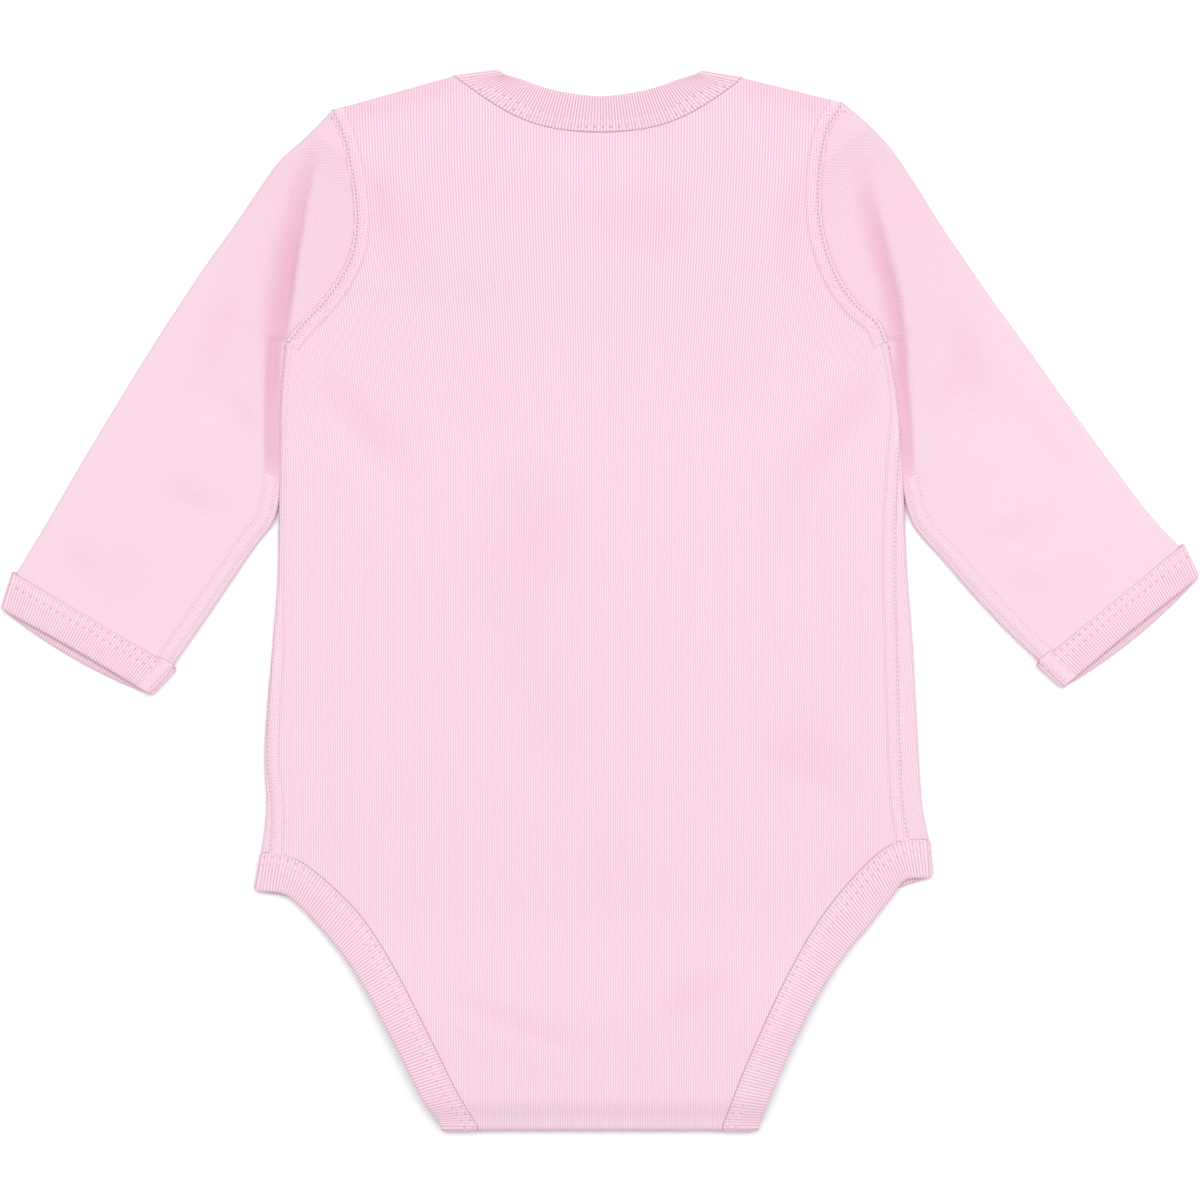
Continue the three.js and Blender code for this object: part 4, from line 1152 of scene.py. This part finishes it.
armhole_widths = np.array([
    -1.0, -0.7, -0.4, -0.15, 0.15, 0.45, 0.8, 1.3, 1.9, 2.6, 3.3, 3.9, 4.2, 4.5, 4.8, 5.2
])
underarm_widths = np.linspace(0.0, 6.2, 16)
for side in sides:
    # The inner edge: the armhole seam, a short bridge at the armpit, and the underarm fold
    fold = shoulders[side]
    seam = through(armhole_rows[side], parts(56))
    corner = np.array([float(seam_x(side, armpit_y)) + 1.2, armpit_y + 1.6])
    body_y = np.array([93.0, 80, 62, 45])
    beside = np.stack([edge_x(side, body_y) - 0.6, body_y], -1)
    free_rows = through([corner, *beside, *sleeve_inner_rows[side]], parts(110))
    bridge = mixed(seam[-1], corner, parts(6)[1:-1])
    inner = np.concatenate([seam, bridge, free_rows])
    run = run_along(inner)
    part = run / run[-1]
    outer = through(sleeve_outer_rows[side], part)
    from_corner = run - run[len(seam) + len(bridge)]
    on_fold = smooth(from_corner, 0, 4)
    beside_body = smooth(inner[:, 1], 38, 54) * on_fold

    # Heights of the two layers, and the lines on which their folds start to turn
    heights = np.array(sleeve_heights)
    low = floor_level + (band_level - floor_level) * smooth(part, 0.93, 1)
    high_outer = np.interp(part, heights[:, 0], heights[:, 1])
    out = edge_out(outer, 1)
    out[:2] = fold.out
    outer_line = outer - out * (cloth_half + (high_outer - low) / 2)[:, None]
    into = np.pad(edge_out(inner, -1), ((4, 4), (0, 0)), "edge")
    into = np.stack([np.convolve(into[:, k], np.ones(9) / 9, "valid") for k in (0, 1)], -1)
    free_high = np.interp(part, heights[:, 0], heights[:, 2])
    fold_high = free_high + (valley_level - free_high) * beside_body
    seam_high = back_height(outwards[side] * inner[:, 0], inner[:, 1])
    high_inner = seam_high + (fold_high - seam_high) * on_fold
    tuck = tuck_depth * eased(len(inner), 10) * (1 - on_fold)
    inset = (cloth_half + (high_inner - low) / 2) * on_fold - tuck
    inner_line = inner - into * inset[:, None]
    inner_line[0] = outer_line[0]
    high_inner[0] = high_outer[0]

    # The upper layer, with its valley beside the body, its folds, and painted shade in its hollows
    t = parts(sleeve_columns)[None] ** 1.25
    plan = mixed(inner_line[:, None], outer_line[:, None], t)
    fade = np.minimum(1, 5 * np.minimum(t, 1 - t)) * eased(len(inner), 12)[:, None]
    crown = 0.5 * np.sin(math.pi * t) * eased(len(inner), 8)[:, None]
    from_edge = np.linalg.norm(plan - plan[:, :1], axis=-1)
    in_valley = beside_body[:, None] * (1 - smooth(from_edge, *valley_bank[side]))
    bank_foot = high_inner + (free_high - valley_level) * beside_body
    level = bank_foot[:, None] + (high_outer - bank_foot)[:, None] * t + crown
    level = level - (free_high - valley_level)[:, None] * in_valley
    relief = fade * soft_relief(plan[..., 0], plan[..., 1], sleeve_folds[side])
    trough = np.minimum(1, 14 * np.minimum(t, 1 - t)) * trough_depth(side, plan)
    wrist = (1 - smooth(part, 0.95, 1))[:, None]
    under_body = (tuck / tuck_depth)[:, None] * (1 - smooth(from_edge, 1.2, 4.2))
    upper = lifted(plan, level + wrist * relief - trough - under_body)
    # Painted shade: darker pink in the hollows of the small folds, in the trough of the sleeve head
    # and in the valley beside the body
    fold_shade = np.clip(-0.7 * relief - 0.03, 0, 0.3) + 0.46 * trough
    fold_shade = fold_shade + 0.8 * in_valley * smooth(from_corner, 0, 16)[:, None]
    ribs, down = sleeve_grain(side, plan)
    upper_cloth = np.stack([ribs, down], -1)

    # The outer fold, the under layer and the underarm fold
    turn = parts(fold_steps)[None]
    turned = fold_point(
        outer_line[:, None],
        out[:, None],
        low[:, None],
        high_outer[:, None],
        np.broadcast_to(1 - turn, (len(inner), fold_steps + 1)),
    )
    arc = math.pi * (high_outer - low)[:, None] / 2
    edge_rib = ribs[:, -1:]
    turned_down = np.broadcast_to(down[:, -1:], turned.shape[:2])
    turned_cloth = np.stack([edge_rib + arc * turn, turned_down], -1)
    under_plan = plan[:, ::-2]
    inside_front = (tuck / tuck_depth)[:, None] * (1 - smooth(from_edge[:, ::-2], 1.6, 3.6))
    under = lifted(under_plan, low[:, None] + 1.1 * inside_front)
    under_cloth = np.stack([2 * edge_rib + arc - ribs[:, ::-2], down[:, ::-2]], -1)
    start = int(np.argmax(on_fold > 0.02))
    closing = fold_point(
        inner_line[start:, None],
        into[start:, None],
        low[start:, None],
        high_inner[start:, None],
        np.broadcast_to(turn, (len(inner) - start, fold_steps + 1)),
    )
    inner_arc = math.pi * (high_inner - low)[start:, None] / 2
    closing_down = np.broadcast_to(down[start:, :1], closing.shape[:2])
    closing_cloth = np.stack([ribs[start:, :1] - inner_arc * (1 - turn), closing_down], -1)
    patches = []
    hollows = []
    # The closing fold beside the body gets painted shade as well; the outer fold and the under
    # layer get none.
    for grid, cloth, mark in (
        (upper, upper_cloth, np.clip(fold_shade, 0, 1)),
        (turned, turned_cloth, np.zeros(turned.shape[:2])),
        (under, under_cloth, np.zeros(under.shape[:2])),
        (closing, closing_cloth, 0.6 * beside_body[start:, None] * np.ones(closing.shape[:2])),
    ):
        grid, cloth, mark = faced((on_side(grid, side), cloth, mark), side, "right")
        patches.append((grid[::-1], cloth[::-1], cloth_half, cloth_half))
        hollows.append(mark[::-1])
    sleeve = cloth_shell(f"sleeve_{side}_cloth", patches, rib_cotton, {"fold": hollows})

    # The armhole seam, round the shoulder fold and down the back to the armpit
    seam_line = through([*armhole_rows[side], (corner[0] + 0.2, corner[1] - 1.6)], parts(160))
    seam_line = seam_line[(seam_line - fold.start) @ fold.out < -fold.inset]
    toward_body = edge_out(seam_line, -1)
    seam_plan = seam_line[:, None] + toward_body[:, None] * armhole_widths[None, :, None]
    seam_level = back_height(outwards[side] * seam_plan[..., 0], seam_plan[..., 1]) + cloth_half
    over_turn = parts(12)[:-1] * 0.5
    turn_start = fold.armhole_point(0) + fold.to_neck * armhole_widths[:, None]
    turn_angle = math.pi * (0.5 - over_turn)
    around = turn_start[None] + fold.out * (fold.inset * np.sin(turn_angle))[:, None, None]
    around_level = (shoulder_level + band_level) / 2 + fold.inset * np.cos(turn_angle)
    around = lifted(around, np.broadcast_to(around_level[:, None], around.shape[:2]))
    seam_surface = np.concatenate([around, lifted(seam_plan, seam_level)])
    armhole_seam = flat_seam(
        f"armhole_seam_{side}",
        on_side(seam_surface, side),
        armhole_widths,
        grain,
        [(0.15, 1.6, 1.0), (2.6, 1.6, 0.25), (4.5, 1.6, 0.35)],
        (0.7, 4.5),
    )

    # The underarm seam, from below the armpit to the cuff
    low_rows = np.arange(int(np.argmax(inner[:, 1] < 46)), len(inner) - 1)
    low_surface = np.stack(
        [between(underarm_widths, from_edge[row], upper[row]) for row in low_rows]
    )
    low_surface[..., 2] += cloth_half
    underarm_seam = flat_seam(
        f"underarm_seam_{side}",
        on_side(low_surface, side),
        underarm_widths,
        lambda plan, side=side: np.stack(sleeve_grain(side, on_side(plan, side)), -1),
        [(0.6, 1.7, 0.25), (5.4, 1.7, 0.25)],
        (0.8, 5.2),
    )
    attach(sleeve, "root")
    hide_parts(f"sleeve_{side}")


# Leg bands
# A rib band folded double round each leg opening, from the front tab past the hip and round
# the crotch to the end of the back tab. Two rows of cover stitch hold it near its seam.

band_half = 0.9
leg_rib_pitch = 1.22
stitch_rows = (1.9, 5.05)
stitch_pitch = 2.9
channel_width = 0.45
turn_rows = 14
# Columns of a band: distances in from its seam, and in from its free edge
near_seam = (0.05, 0.2, 0.5, 0.95, 1.6, 1.9, 2.2, 2.8, 3.6, 4.4, 4.75, 5.05, 5.35, 6.0, 7.5)
near_edge = (2.4, 1.3, 0.6, 0.2, 0.0)

# The groove colour is painted shade between the ribs.
band_face = (0.81, 0.61, 0.70)
band_groove_shade = (0.62, 0.34, 0.455)


def paired(seam, free, side):
    """Seam points and free points of a band, side by side."""
    return np.concatenate([on_side(seam, side), on_side(free, side)], axis=1)


def even_rows(pairs, step, closed=False):
    """Pairs of seam and free points at an even step along the band, and how far along each is."""
    run = run_along((pairs[:, :3] + pairs[:, 3:]) / 2)
    count = int(round(run[-1] / step / 4)) * 4 if closed else int(round(run[-1] / step))
    at = np.linspace(0, run[-1], count + 1)
    return between(at, run, pairs), at


def rib_band(
    name, pairs, pitch, material, closed=False, folds=(), corner=2.6, hole=0.7, crease=0.45
):
    """A doubled rib band from its seam to its free edge, with ribs across it, rounded edges, and
    two rows of needle holes in shallow channels. Its free corners are round at the folds. Hole
    and crease say how strong the painted shade is in the needle holes and along the seam crease."""
    rows, at = even_rows(pairs, pitch / 4, closed)
    pair_run = run_along((pairs[:, :3] + pairs[:, 3:]) / 2)
    for index in folds:
        from_fold = np.minimum(abs(at - pair_run[index]), corner)
        cut = corner - np.sqrt(corner**2 - (corner - from_fold) ** 2)
        toward = rows[:, 3:] - rows[:, :3]
        rows[:, 3:] -= toward * (cut / np.linalg.norm(toward, axis=1))[:, None]
    if closed:
        at = at * (round(at[-1] / pitch) * pitch / at[-1])
    width = np.linalg.norm(rows[:, 3:] - rows[:, :3], axis=1)[:, None]
    inner_columns = np.broadcast_to(near_seam, (len(rows), len(near_seam)))
    columns = np.concatenate([inner_columns, width - np.array(near_edge)[None]], axis=1)
    points = rows[:, None, :3] + (rows[:, 3:] - rows[:, :3])[:, None] * (columns / width)[..., None]
    edge = np.minimum(columns, width - columns)
    round_edge = np.sqrt(np.clip(1 - (1 - np.clip(edge / band_half, 0, 1)) ** 2, 0.02, 1))
    rib = np.cos(2 * math.pi * at / pitch)[:, None]
    channel = sum(np.exp(-(((columns - row) / channel_width) ** 2)) for row in stitch_rows)
    in_channel = np.clip(channel, 0, 1)
    stitch_turn = (at % stitch_pitch)[:, None]
    from_hole = np.minimum(stitch_turn, stitch_pitch - stitch_turn)
    # Painted shade along the seam crease and in the needle holes; strong marks also thin the band.
    marks = crease * np.exp(-((columns / channel_width) ** 2)) * np.ones_like(rib)
    for row in stitch_rows:
        pierced = np.exp(-(((columns - row) / 0.32) ** 2) - (from_hole / 0.4) ** 2)
        marks = np.maximum(marks, hole * pierced)
    plain_welt = smooth(columns, 0.2, 1.5)
    half = band_half * round_edge + 0.1 * rib * (1 - 0.6 * in_channel) * round_edge * plain_welt
    half = half + 0.14 * (1 - plain_welt) * smooth(columns, 0, 0.6) - 0.16 * in_channel
    half = np.maximum(half - 0.3 * np.clip(marks - 0.45, 0, 1), 0.08)
    cloth = np.stack([np.broadcast_to(at[:, None], columns.shape), columns], -1)
    grid = (points, cloth, half, half)
    return cloth_shell(name, [grid], material, {"needle": [marks]}), rows, at


def stitch_tree():
    """Lays one thread stitch at every step of a line: a small rounded bar along the line."""
    sizes = [(label, "Float") for label in ("Stitch pitch", "Stitch length", "Thread width")]
    tree, given, made = node_tree("cover_stitches", [*sizes, ("Thread", "Material")])
    nodes = tree.nodes
    line = nodes.new("GeometryNodeMeshToCurve")
    spaced = nodes.new("GeometryNodeResampleCurve")
    spaced.mode = "LENGTH"
    bar = nodes.new("GeometryNodeMeshUVSphere")
    bar.inputs["Segments"].default_value = 6
    bar.inputs["Rings"].default_value = 4
    bar.inputs["Radius"].default_value = 0.5
    tangent = nodes.new("GeometryNodeInputTangent")
    along = nodes.new("FunctionNodeAlignRotationToVector")
    along.axis = "X"
    up = nodes.new("GeometryNodeInputNamedAttribute")
    up.data_type = "FLOAT_VECTOR"
    up.inputs["Name"].default_value = "up"
    upright = nodes.new("FunctionNodeAlignRotationToVector")
    upright.axis = "Z"
    upright.pivot_axis = "X"
    size = nodes.new("ShaderNodeCombineXYZ")
    place = nodes.new("GeometryNodeInstanceOnPoints")
    real = nodes.new("GeometryNodeRealizeInstances")
    round_off = nodes.new("GeometryNodeSetShadeSmooth")
    finish = nodes.new("GeometryNodeSetMaterial")
    wire(
        tree.links,
        (given, "Geometry", line, "Mesh"),
        (line, "Curve", spaced, "Curve"),
        (given, "Stitch pitch", spaced, "Length"),
        (tangent, "Tangent", along, "Vector"),
        (along, "Rotation", upright, "Rotation"),
        (up, "Attribute", upright, "Vector"),
        (given, "Stitch length", size, "X"),
        (given, "Thread width", size, "Y"),
        (given, "Thread width", size, "Z"),
        (spaced, "Curve", place, "Points"),
        (bar, "Mesh", place, "Instance"),
        (upright, "Rotation", place, "Rotation"),
        (size, "Vector", place, "Scale"),
        (place, "Instances", real, "Geometry"),
        (real, "Geometry", round_off, "Geometry"),
        (round_off, "Geometry", finish, "Geometry"),
        (given, "Thread", finish, "Material"),
        (finish, "Geometry", made, "Geometry"),
    )
    return tree


cover_stitches = stitch_tree()
stitch_sizes = {
    "Stitch pitch": stitch_pitch * mm,
    "Stitch length": 2.1 * mm,
    "Thread width": 0.42 * mm,
    "Thread": sewing_thread,
}


def band_stitches(name, rows, at):
    """The thread of both stitch rows, on both faces of a band, between its needle holes."""
    seam = rows[:, :3]
    toward = rows[:, 3:] - seam
    width = np.linalg.norm(toward, axis=1)[:, None]
    run = np.gradient(seam + toward / 2, axis=0)
    normal = np.cross(run, toward)
    normal /= np.linalg.norm(normal, axis=1)[:, None]
    lines = []
    ups = []
    begin = np.searchsorted(at, stitch_pitch / 2)
    for row in stitch_rows:
        for face in (-1, 1):
            line = seam + toward / width * row + normal * face * (band_half - 0.12)
            lines.append(line[begin::2])
            ups.append((normal * face)[begin::2])
    return from_lines(name, lines, ups, cover_stitches, stitch_sizes)


leg_band_knit = rib_knit(
    "leg_band_knit", band_face, band_groove_shade, leg_rib_pitch * mm, 0.05, pressed=6
)


def with_level(rows, side, level_of, half):
    """Seam and free points with their heights, never lower than a band on the table."""
    flat = [on_side(rows[:, k : k + 2], side) for k in (0, 2)]
    raised = [lifted(p, np.maximum(half, level_of(p[:, 0], p[:, 1]))) for p in flat]
    return np.concatenate(raised, axis=1)


for side in sides:
    # Along the front, round the hip, along the back, round the crotch and along the tab
    front = with_level(through(front_leg[side], parts(120))[:-1], side, front_height, band_half)
    turn = parts(turn_rows)
    rise = hip_rise[side]
    seam_turn = side_turn(side, hip_turn_y + hip_slant * turn + rise, turn, band_half)
    free_turn = side_turn(side, hip_free_y - 0.2 * turn + rise, turn, band_half)
    hip = paired(seam_turn, free_turn, side)
    knots = [(*seam_turn[-1, :2], *free_turn[-1, :2]), *back_leg_rows[side]]
    knots += [(crotch_seam_half, crotch_line, crotch_free_half, crotch_line)]
    back = with_level(through(knots, parts(160))[1:], side, back_height, band_half)
    around = 1 - turn[1:]
    seam_around = crotch_turn(np.full(turn_rows, crotch_seam_half), around)
    free_around = crotch_turn(np.full(turn_rows, crotch_free_half), around)
    crotch = paired(seam_around, free_around, side)
    tab = through(back_tab_rows, parts(30))[1:]
    level = tab_height(crotch_line + tab[:, 0])
    tab_seam = np.stack([tab[:, 1], crotch_line + tab[:, 0], level], -1)
    tab_free = np.stack([tab[:, 2], crotch_line + tab[:, 0], level], -1)
    pairs = np.concatenate([front, hip, back, crotch, paired(tab_seam, tab_free, side)])
    half_turn = turn_rows // 2
    turns = (len(front) + half_turn, len(front) + len(hip) + len(back) + half_turn)
    leg_band, rows, at = rib_band(
        f"leg_band_{side}_cloth", pairs, leg_rib_pitch, leg_band_knit, folds=turns
    )
    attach(leg_band, "root")
    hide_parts(f"leg_band_{side}")
    leg_stitches = band_stitches(f"leg_stitches_{side}", rows, at)
    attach(leg_stitches, "root")


# Neck bands
# The same rib, folded double. The back band runs over both shoulder laps and round the back
# neck; the front band follows the low front neck from armhole to armhole.

neck_rib_band_pitch = 1.13
# Where the free edge of the back band crosses the shoulder fold
neck_fold_free = np.array([37.0, 202.1])
neck_band_knit = rib_knit(
    "neck_band_knit", band_face, band_groove_shade, neck_rib_band_pitch * mm, 0.05, pressed=6
)


def back_neck_half(side):
    """Pairs of points from the centre of the back neck, over the shoulder, to the lap's end."""
    fold = shoulders[side]
    corner = neck_corner(side)
    free_corner = neck_fold_free - fold.out * fold.inset
    knots = [*back_neck_rows, (*corner, *free_corner)]
    top = with_level(through(knots, parts(60)), side, back_height, band_half)
    turn = parts(12)
    reach = lap_reach[side]
    lap = through([(row[0], row[1] * reach, row[3], row[2] * reach) for row in lap_rows], parts(60))
    seam_low = fold.lap_point(0, lap_rows[0][1] * reach)
    free_low = fold.lap_point(lap_rows[0][3], lap_rows[0][2] * reach)
    seam_turn, free_turn = (
        fold.turned(np.tile(top_end, (len(turn), 1)), np.tile(low_end, (len(turn), 1)), turn)
        for top_end, low_end in ((corner, seam_low), (free_corner, free_low))
    )
    seam = lifted(fold.lap_point(lap[:, 0], lap[:, 1]), band_level)
    free = lifted(fold.lap_point(lap[:, 2], lap[:, 3]), band_level)
    under = paired(seam, free, side)[1:]
    return np.concatenate([top[:-1], paired(seam_turn, free_turn, side), under])


def front_neck_half(side):
    """Pairs of points from the centre of the front neck to the armhole."""
    fold = shoulders[side]
    seam_end = fold.armhole_point(front_neck_seam_in)
    free_end = fold.armhole_point(front_neck_free_in)
    knots = [*front_neck_rows, (*seam_end, *free_end)]
    return with_level(through(knots, parts(100)), side, front_height, band_half)


neck_bands = (
    ("neck_band_back", back_neck_half, (0.014, 0.278), ["back_panel_cloth"]),
    ("neck_band_front", front_neck_half, (0.014, 0.186), ["front_panel_cloth"]),
)
for name, half_of, flat, rests in neck_bands:
    pairs = np.concatenate([half_of("left")[::-1], half_of("right")[1:]])
    neck_band, rows, at = rib_band(
        f"{name}_cloth", pairs, neck_rib_band_pitch, neck_band_knit, hole=0.9, crease=0.18
    )
    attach(neck_band, "root")
    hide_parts(name)
    neck_stitches = band_stitches(f"{name}_stitches", rows, at)
    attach(neck_stitches, "root")


# Cuffs
# A closed rib band on each wrist, folded double. It is a little wider than the sleeve, and
# its under layer shows as a thin crescent beyond the upper one.

cuff_rib_pitch = 1.08
cuff_peek = 2.6
# Rows of the cuff's ring in the middle of its outer fold and by its inner fold
cuff_turns = (65, 130)
cuff_fold_parts = parts(10)[1:-1]
cuff_seam_widths = np.linspace(1.6, 7.0, 13)
# Ends of the seam line and of the free edge, each at the outer and at the inner fold
cuff_corners = {
    "left": ((223.2, 10.9), (161.0, -26.0), (227.7, -3.4), (170.6, -36.2)),
    "right": ((221.6, 21.5), (165.8, -24.4), (227.7, 8.6), (176.0, -33.4)),
}
cuff_knit = rib_knit("cuff_knit", band_face, band_groove_shade, cuff_rib_pitch * mm, 0.05, pressed=6)

for side in sides:
    seam_outer, seam_inner, free_outer, free_inner = np.array(cuff_corners[side])
    down = free_outer + free_inner - seam_outer - seam_inner
    down /= np.linalg.norm(down)
    out = (seam_outer - seam_inner) / np.linalg.norm(seam_outer - seam_inner)
    high = sleeve_heights[-1][1]
    inset = cloth_half + (high - band_level) / 2
    rings = []
    for outer, inner, free in ((seam_outer, seam_inner, 0), (free_outer, free_inner, 1)):
        outer = outer - out * inset
        inner = inner + out * inset
        s = parts(60)
        bow = 1.2 * np.sin(math.pi * s)[:, None] * down * (1 if free else 0.6)
        upper = lifted(mixed(inner, outer, s) - bow * 0.4, high + 0.25 * np.sin(math.pi * s))
        peek = cuff_peek * free * np.sin(math.pi * s) ** 0.7
        lower = lifted(mixed(outer, inner, s) + down * peek[:, None], band_level)
        outer_turn = fold_point(outer, out, band_level, high, 1 - cuff_fold_parts)
        inner_turn = fold_point(inner, -out, band_level, high, cuff_fold_parts)
        rings.append(np.concatenate([upper, outer_turn, lower, inner_turn, upper[:1]]))
    pairs = paired(*rings, side)
    # A strong crease gives the cuff's seam line painted shadow, where the cuff stands over the
    # sleeve.
    cuff, rows, at = rib_band(
        f"cuff_band_{side}_cloth",
        pairs,
        cuff_rib_pitch,
        cuff_knit,
        closed=True,
        folds=cuff_turns,
        corner=1.6,
        crease=0.95,
    )
    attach(cuff, "root")
    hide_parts(f"cuff_band_{side}")
    cuff_stitches = band_stitches(f"cuff_stitches_{side}", rows, at)
    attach(cuff_stitches, "root")
    # The underarm seam runs on over the cuff, close to its inner end.
    over_plan = mixed(seam_inner, free_inner, np.linspace(-0.04, 0.97, 40))
    over_plan = over_plan[:, None] + out * cuff_seam_widths[:, None]
    over = lifted(over_plan, high + band_half + 0.06)
    cuff_seam = flat_seam(
        f"cuff_seam_{side}",
        on_side(over, side),
        cuff_seam_widths,
        grain,
        [(2.0, 1.7, 0.3), (6.6, 1.7, 0.3)],
        (2.1, 6.5),
    )


# Snaps
# Three enamelled ring snaps hold the tabs together at the crotch. Each has a socket with its cap
# under the front tab and a stud with its cap on the back tab, clamped through the cloth.

snap_x = (-24, 0, 24)
snap_y = -176
metal_sharp = math.radians(40)
# Profiles of the turned parts: radius, height
socket_profile = [
    (0, 0.14), (2.7, 0.12), (3.1, 0.02), (4.35, 0.0), (4.7, 0.12), (4.78, 0.3),
    (4.6, 0.46), (4.2, 0.5), (1.5, 0.5), (1.4, 0.6), (1.4, 2.0), (1.5, 2.1),
    (3.95, 2.1), (4.2, 2.25), (4.2, 2.8), (4.0, 3.0), (3.0, 3.02), (2.6, 2.84),
    (2.15, 2.88), (2.1, 2.7), (2.1, 2.3), (2.0, 2.25), (0, 2.25),
]
stud_profile = [
    (0, 2.62), (1.3, 2.62), (1.62, 2.74), (1.7, 2.9), (1.6, 3.2), (1.9, 3.3),
    (3.95, 3.3), (4.2, 3.45), (4.2, 3.65), (4.0, 3.8), (1.5, 3.8), (1.4, 3.9),
    (1.4, 5.3), (1.5, 5.4), (4.2, 5.4), (4.6, 5.44), (4.78, 5.6), (4.7, 5.78),
    (4.35, 5.9), (3.1, 5.88), (2.7, 5.78), (0, 5.76),
]


def turned_metal(name, profile, x, material, faces=48):
    """A part of turned sheet metal from its profile, from the axis at the bottom to the top."""
    profile = np.array(profile, float)
    angle = np.arange(faces) * 2 * math.pi / faces
    points = [(x, snap_y, profile[0, 1])]
    for radius, level in profile[1:-1]:
        points += [(x + radius * math.cos(a), snap_y + radius * math.sin(a), level) for a in angle]
    points.append((x, snap_y, profile[-1, 1]))
    rings = len(profile) - 2
    polygons = [(0, 1 + (k + 1) % faces, 1 + k) for k in range(faces)]
    for ring in range(rings - 1):
        base = 1 + ring * faces
        for k in range(faces):
            after = (k + 1) % faces
            polygons.append((base + k, base + after, base + faces + after, base + faces + k))
    last = len(points) - 1
    base = last - faces
    polygons += [(base + k, base + (k + 1) % faces, last) for k in range(faces)]
    mesh = bpy.data.meshes.new(name)
    mesh.from_pydata((np.array(points) * mm).tolist(), [], polygons)
    mesh.shade_smooth()
    mesh.set_sharp_from_angle(angle=metal_sharp)
    mesh.materials.append(material)
    return add_object(name, mesh)


enamel, enamel_nodes, enamel_links, enamel_shader = new_material("pink_enamel")
enamel_shader.inputs["Metallic"].default_value = 0.15
enamel_shader.inputs["Coat Weight"].default_value = 0.5
enamel_place = enamel_nodes.new("ShaderNodeTexCoord")
enamel_noise = enamel_nodes.new("ShaderNodeTexNoise")
enamel_noise.inputs["Scale"].default_value = 900
enamel_tone = colour_mix(enamel_nodes, (0.74, 0.44, 0.55), (0.80, 0.52, 0.62))
enamel_rough = enamel_nodes.new("ShaderNodeMapRange")
enamel_rough.inputs["To Min"].default_value = 0.24
enamel_rough.inputs["To Max"].default_value = 0.42
enamel_bump = enamel_nodes.new("ShaderNodeBump")
enamel_bump.inputs["Distance"].default_value = 0.02 * mm
wire(
    enamel_links,
    (enamel_place, "Object", enamel_noise, "Vector"),
    (enamel_noise, "Fac", enamel_tone, "Factor"),
    (enamel_noise, "Fac", enamel_rough, "Value"),
    (enamel_noise, "Fac", enamel_bump, "Height"),
    (enamel_tone, "Result", enamel_shader, "Base Color"),
    (enamel_rough, "Result", enamel_shader, "Roughness"),
    (enamel_bump, "Normal", enamel_shader, "Normal"),
)

for number, x in enumerate(snap_x, start=1):
    for part_name, profile in (("snap_socket", socket_profile), ("snap_stud", stud_profile)):
        metal = turned_metal(f"{part_name}_{number}_metal", profile, x, enamel)
        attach(metal, "root")
        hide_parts(f"{part_name}_{number}")
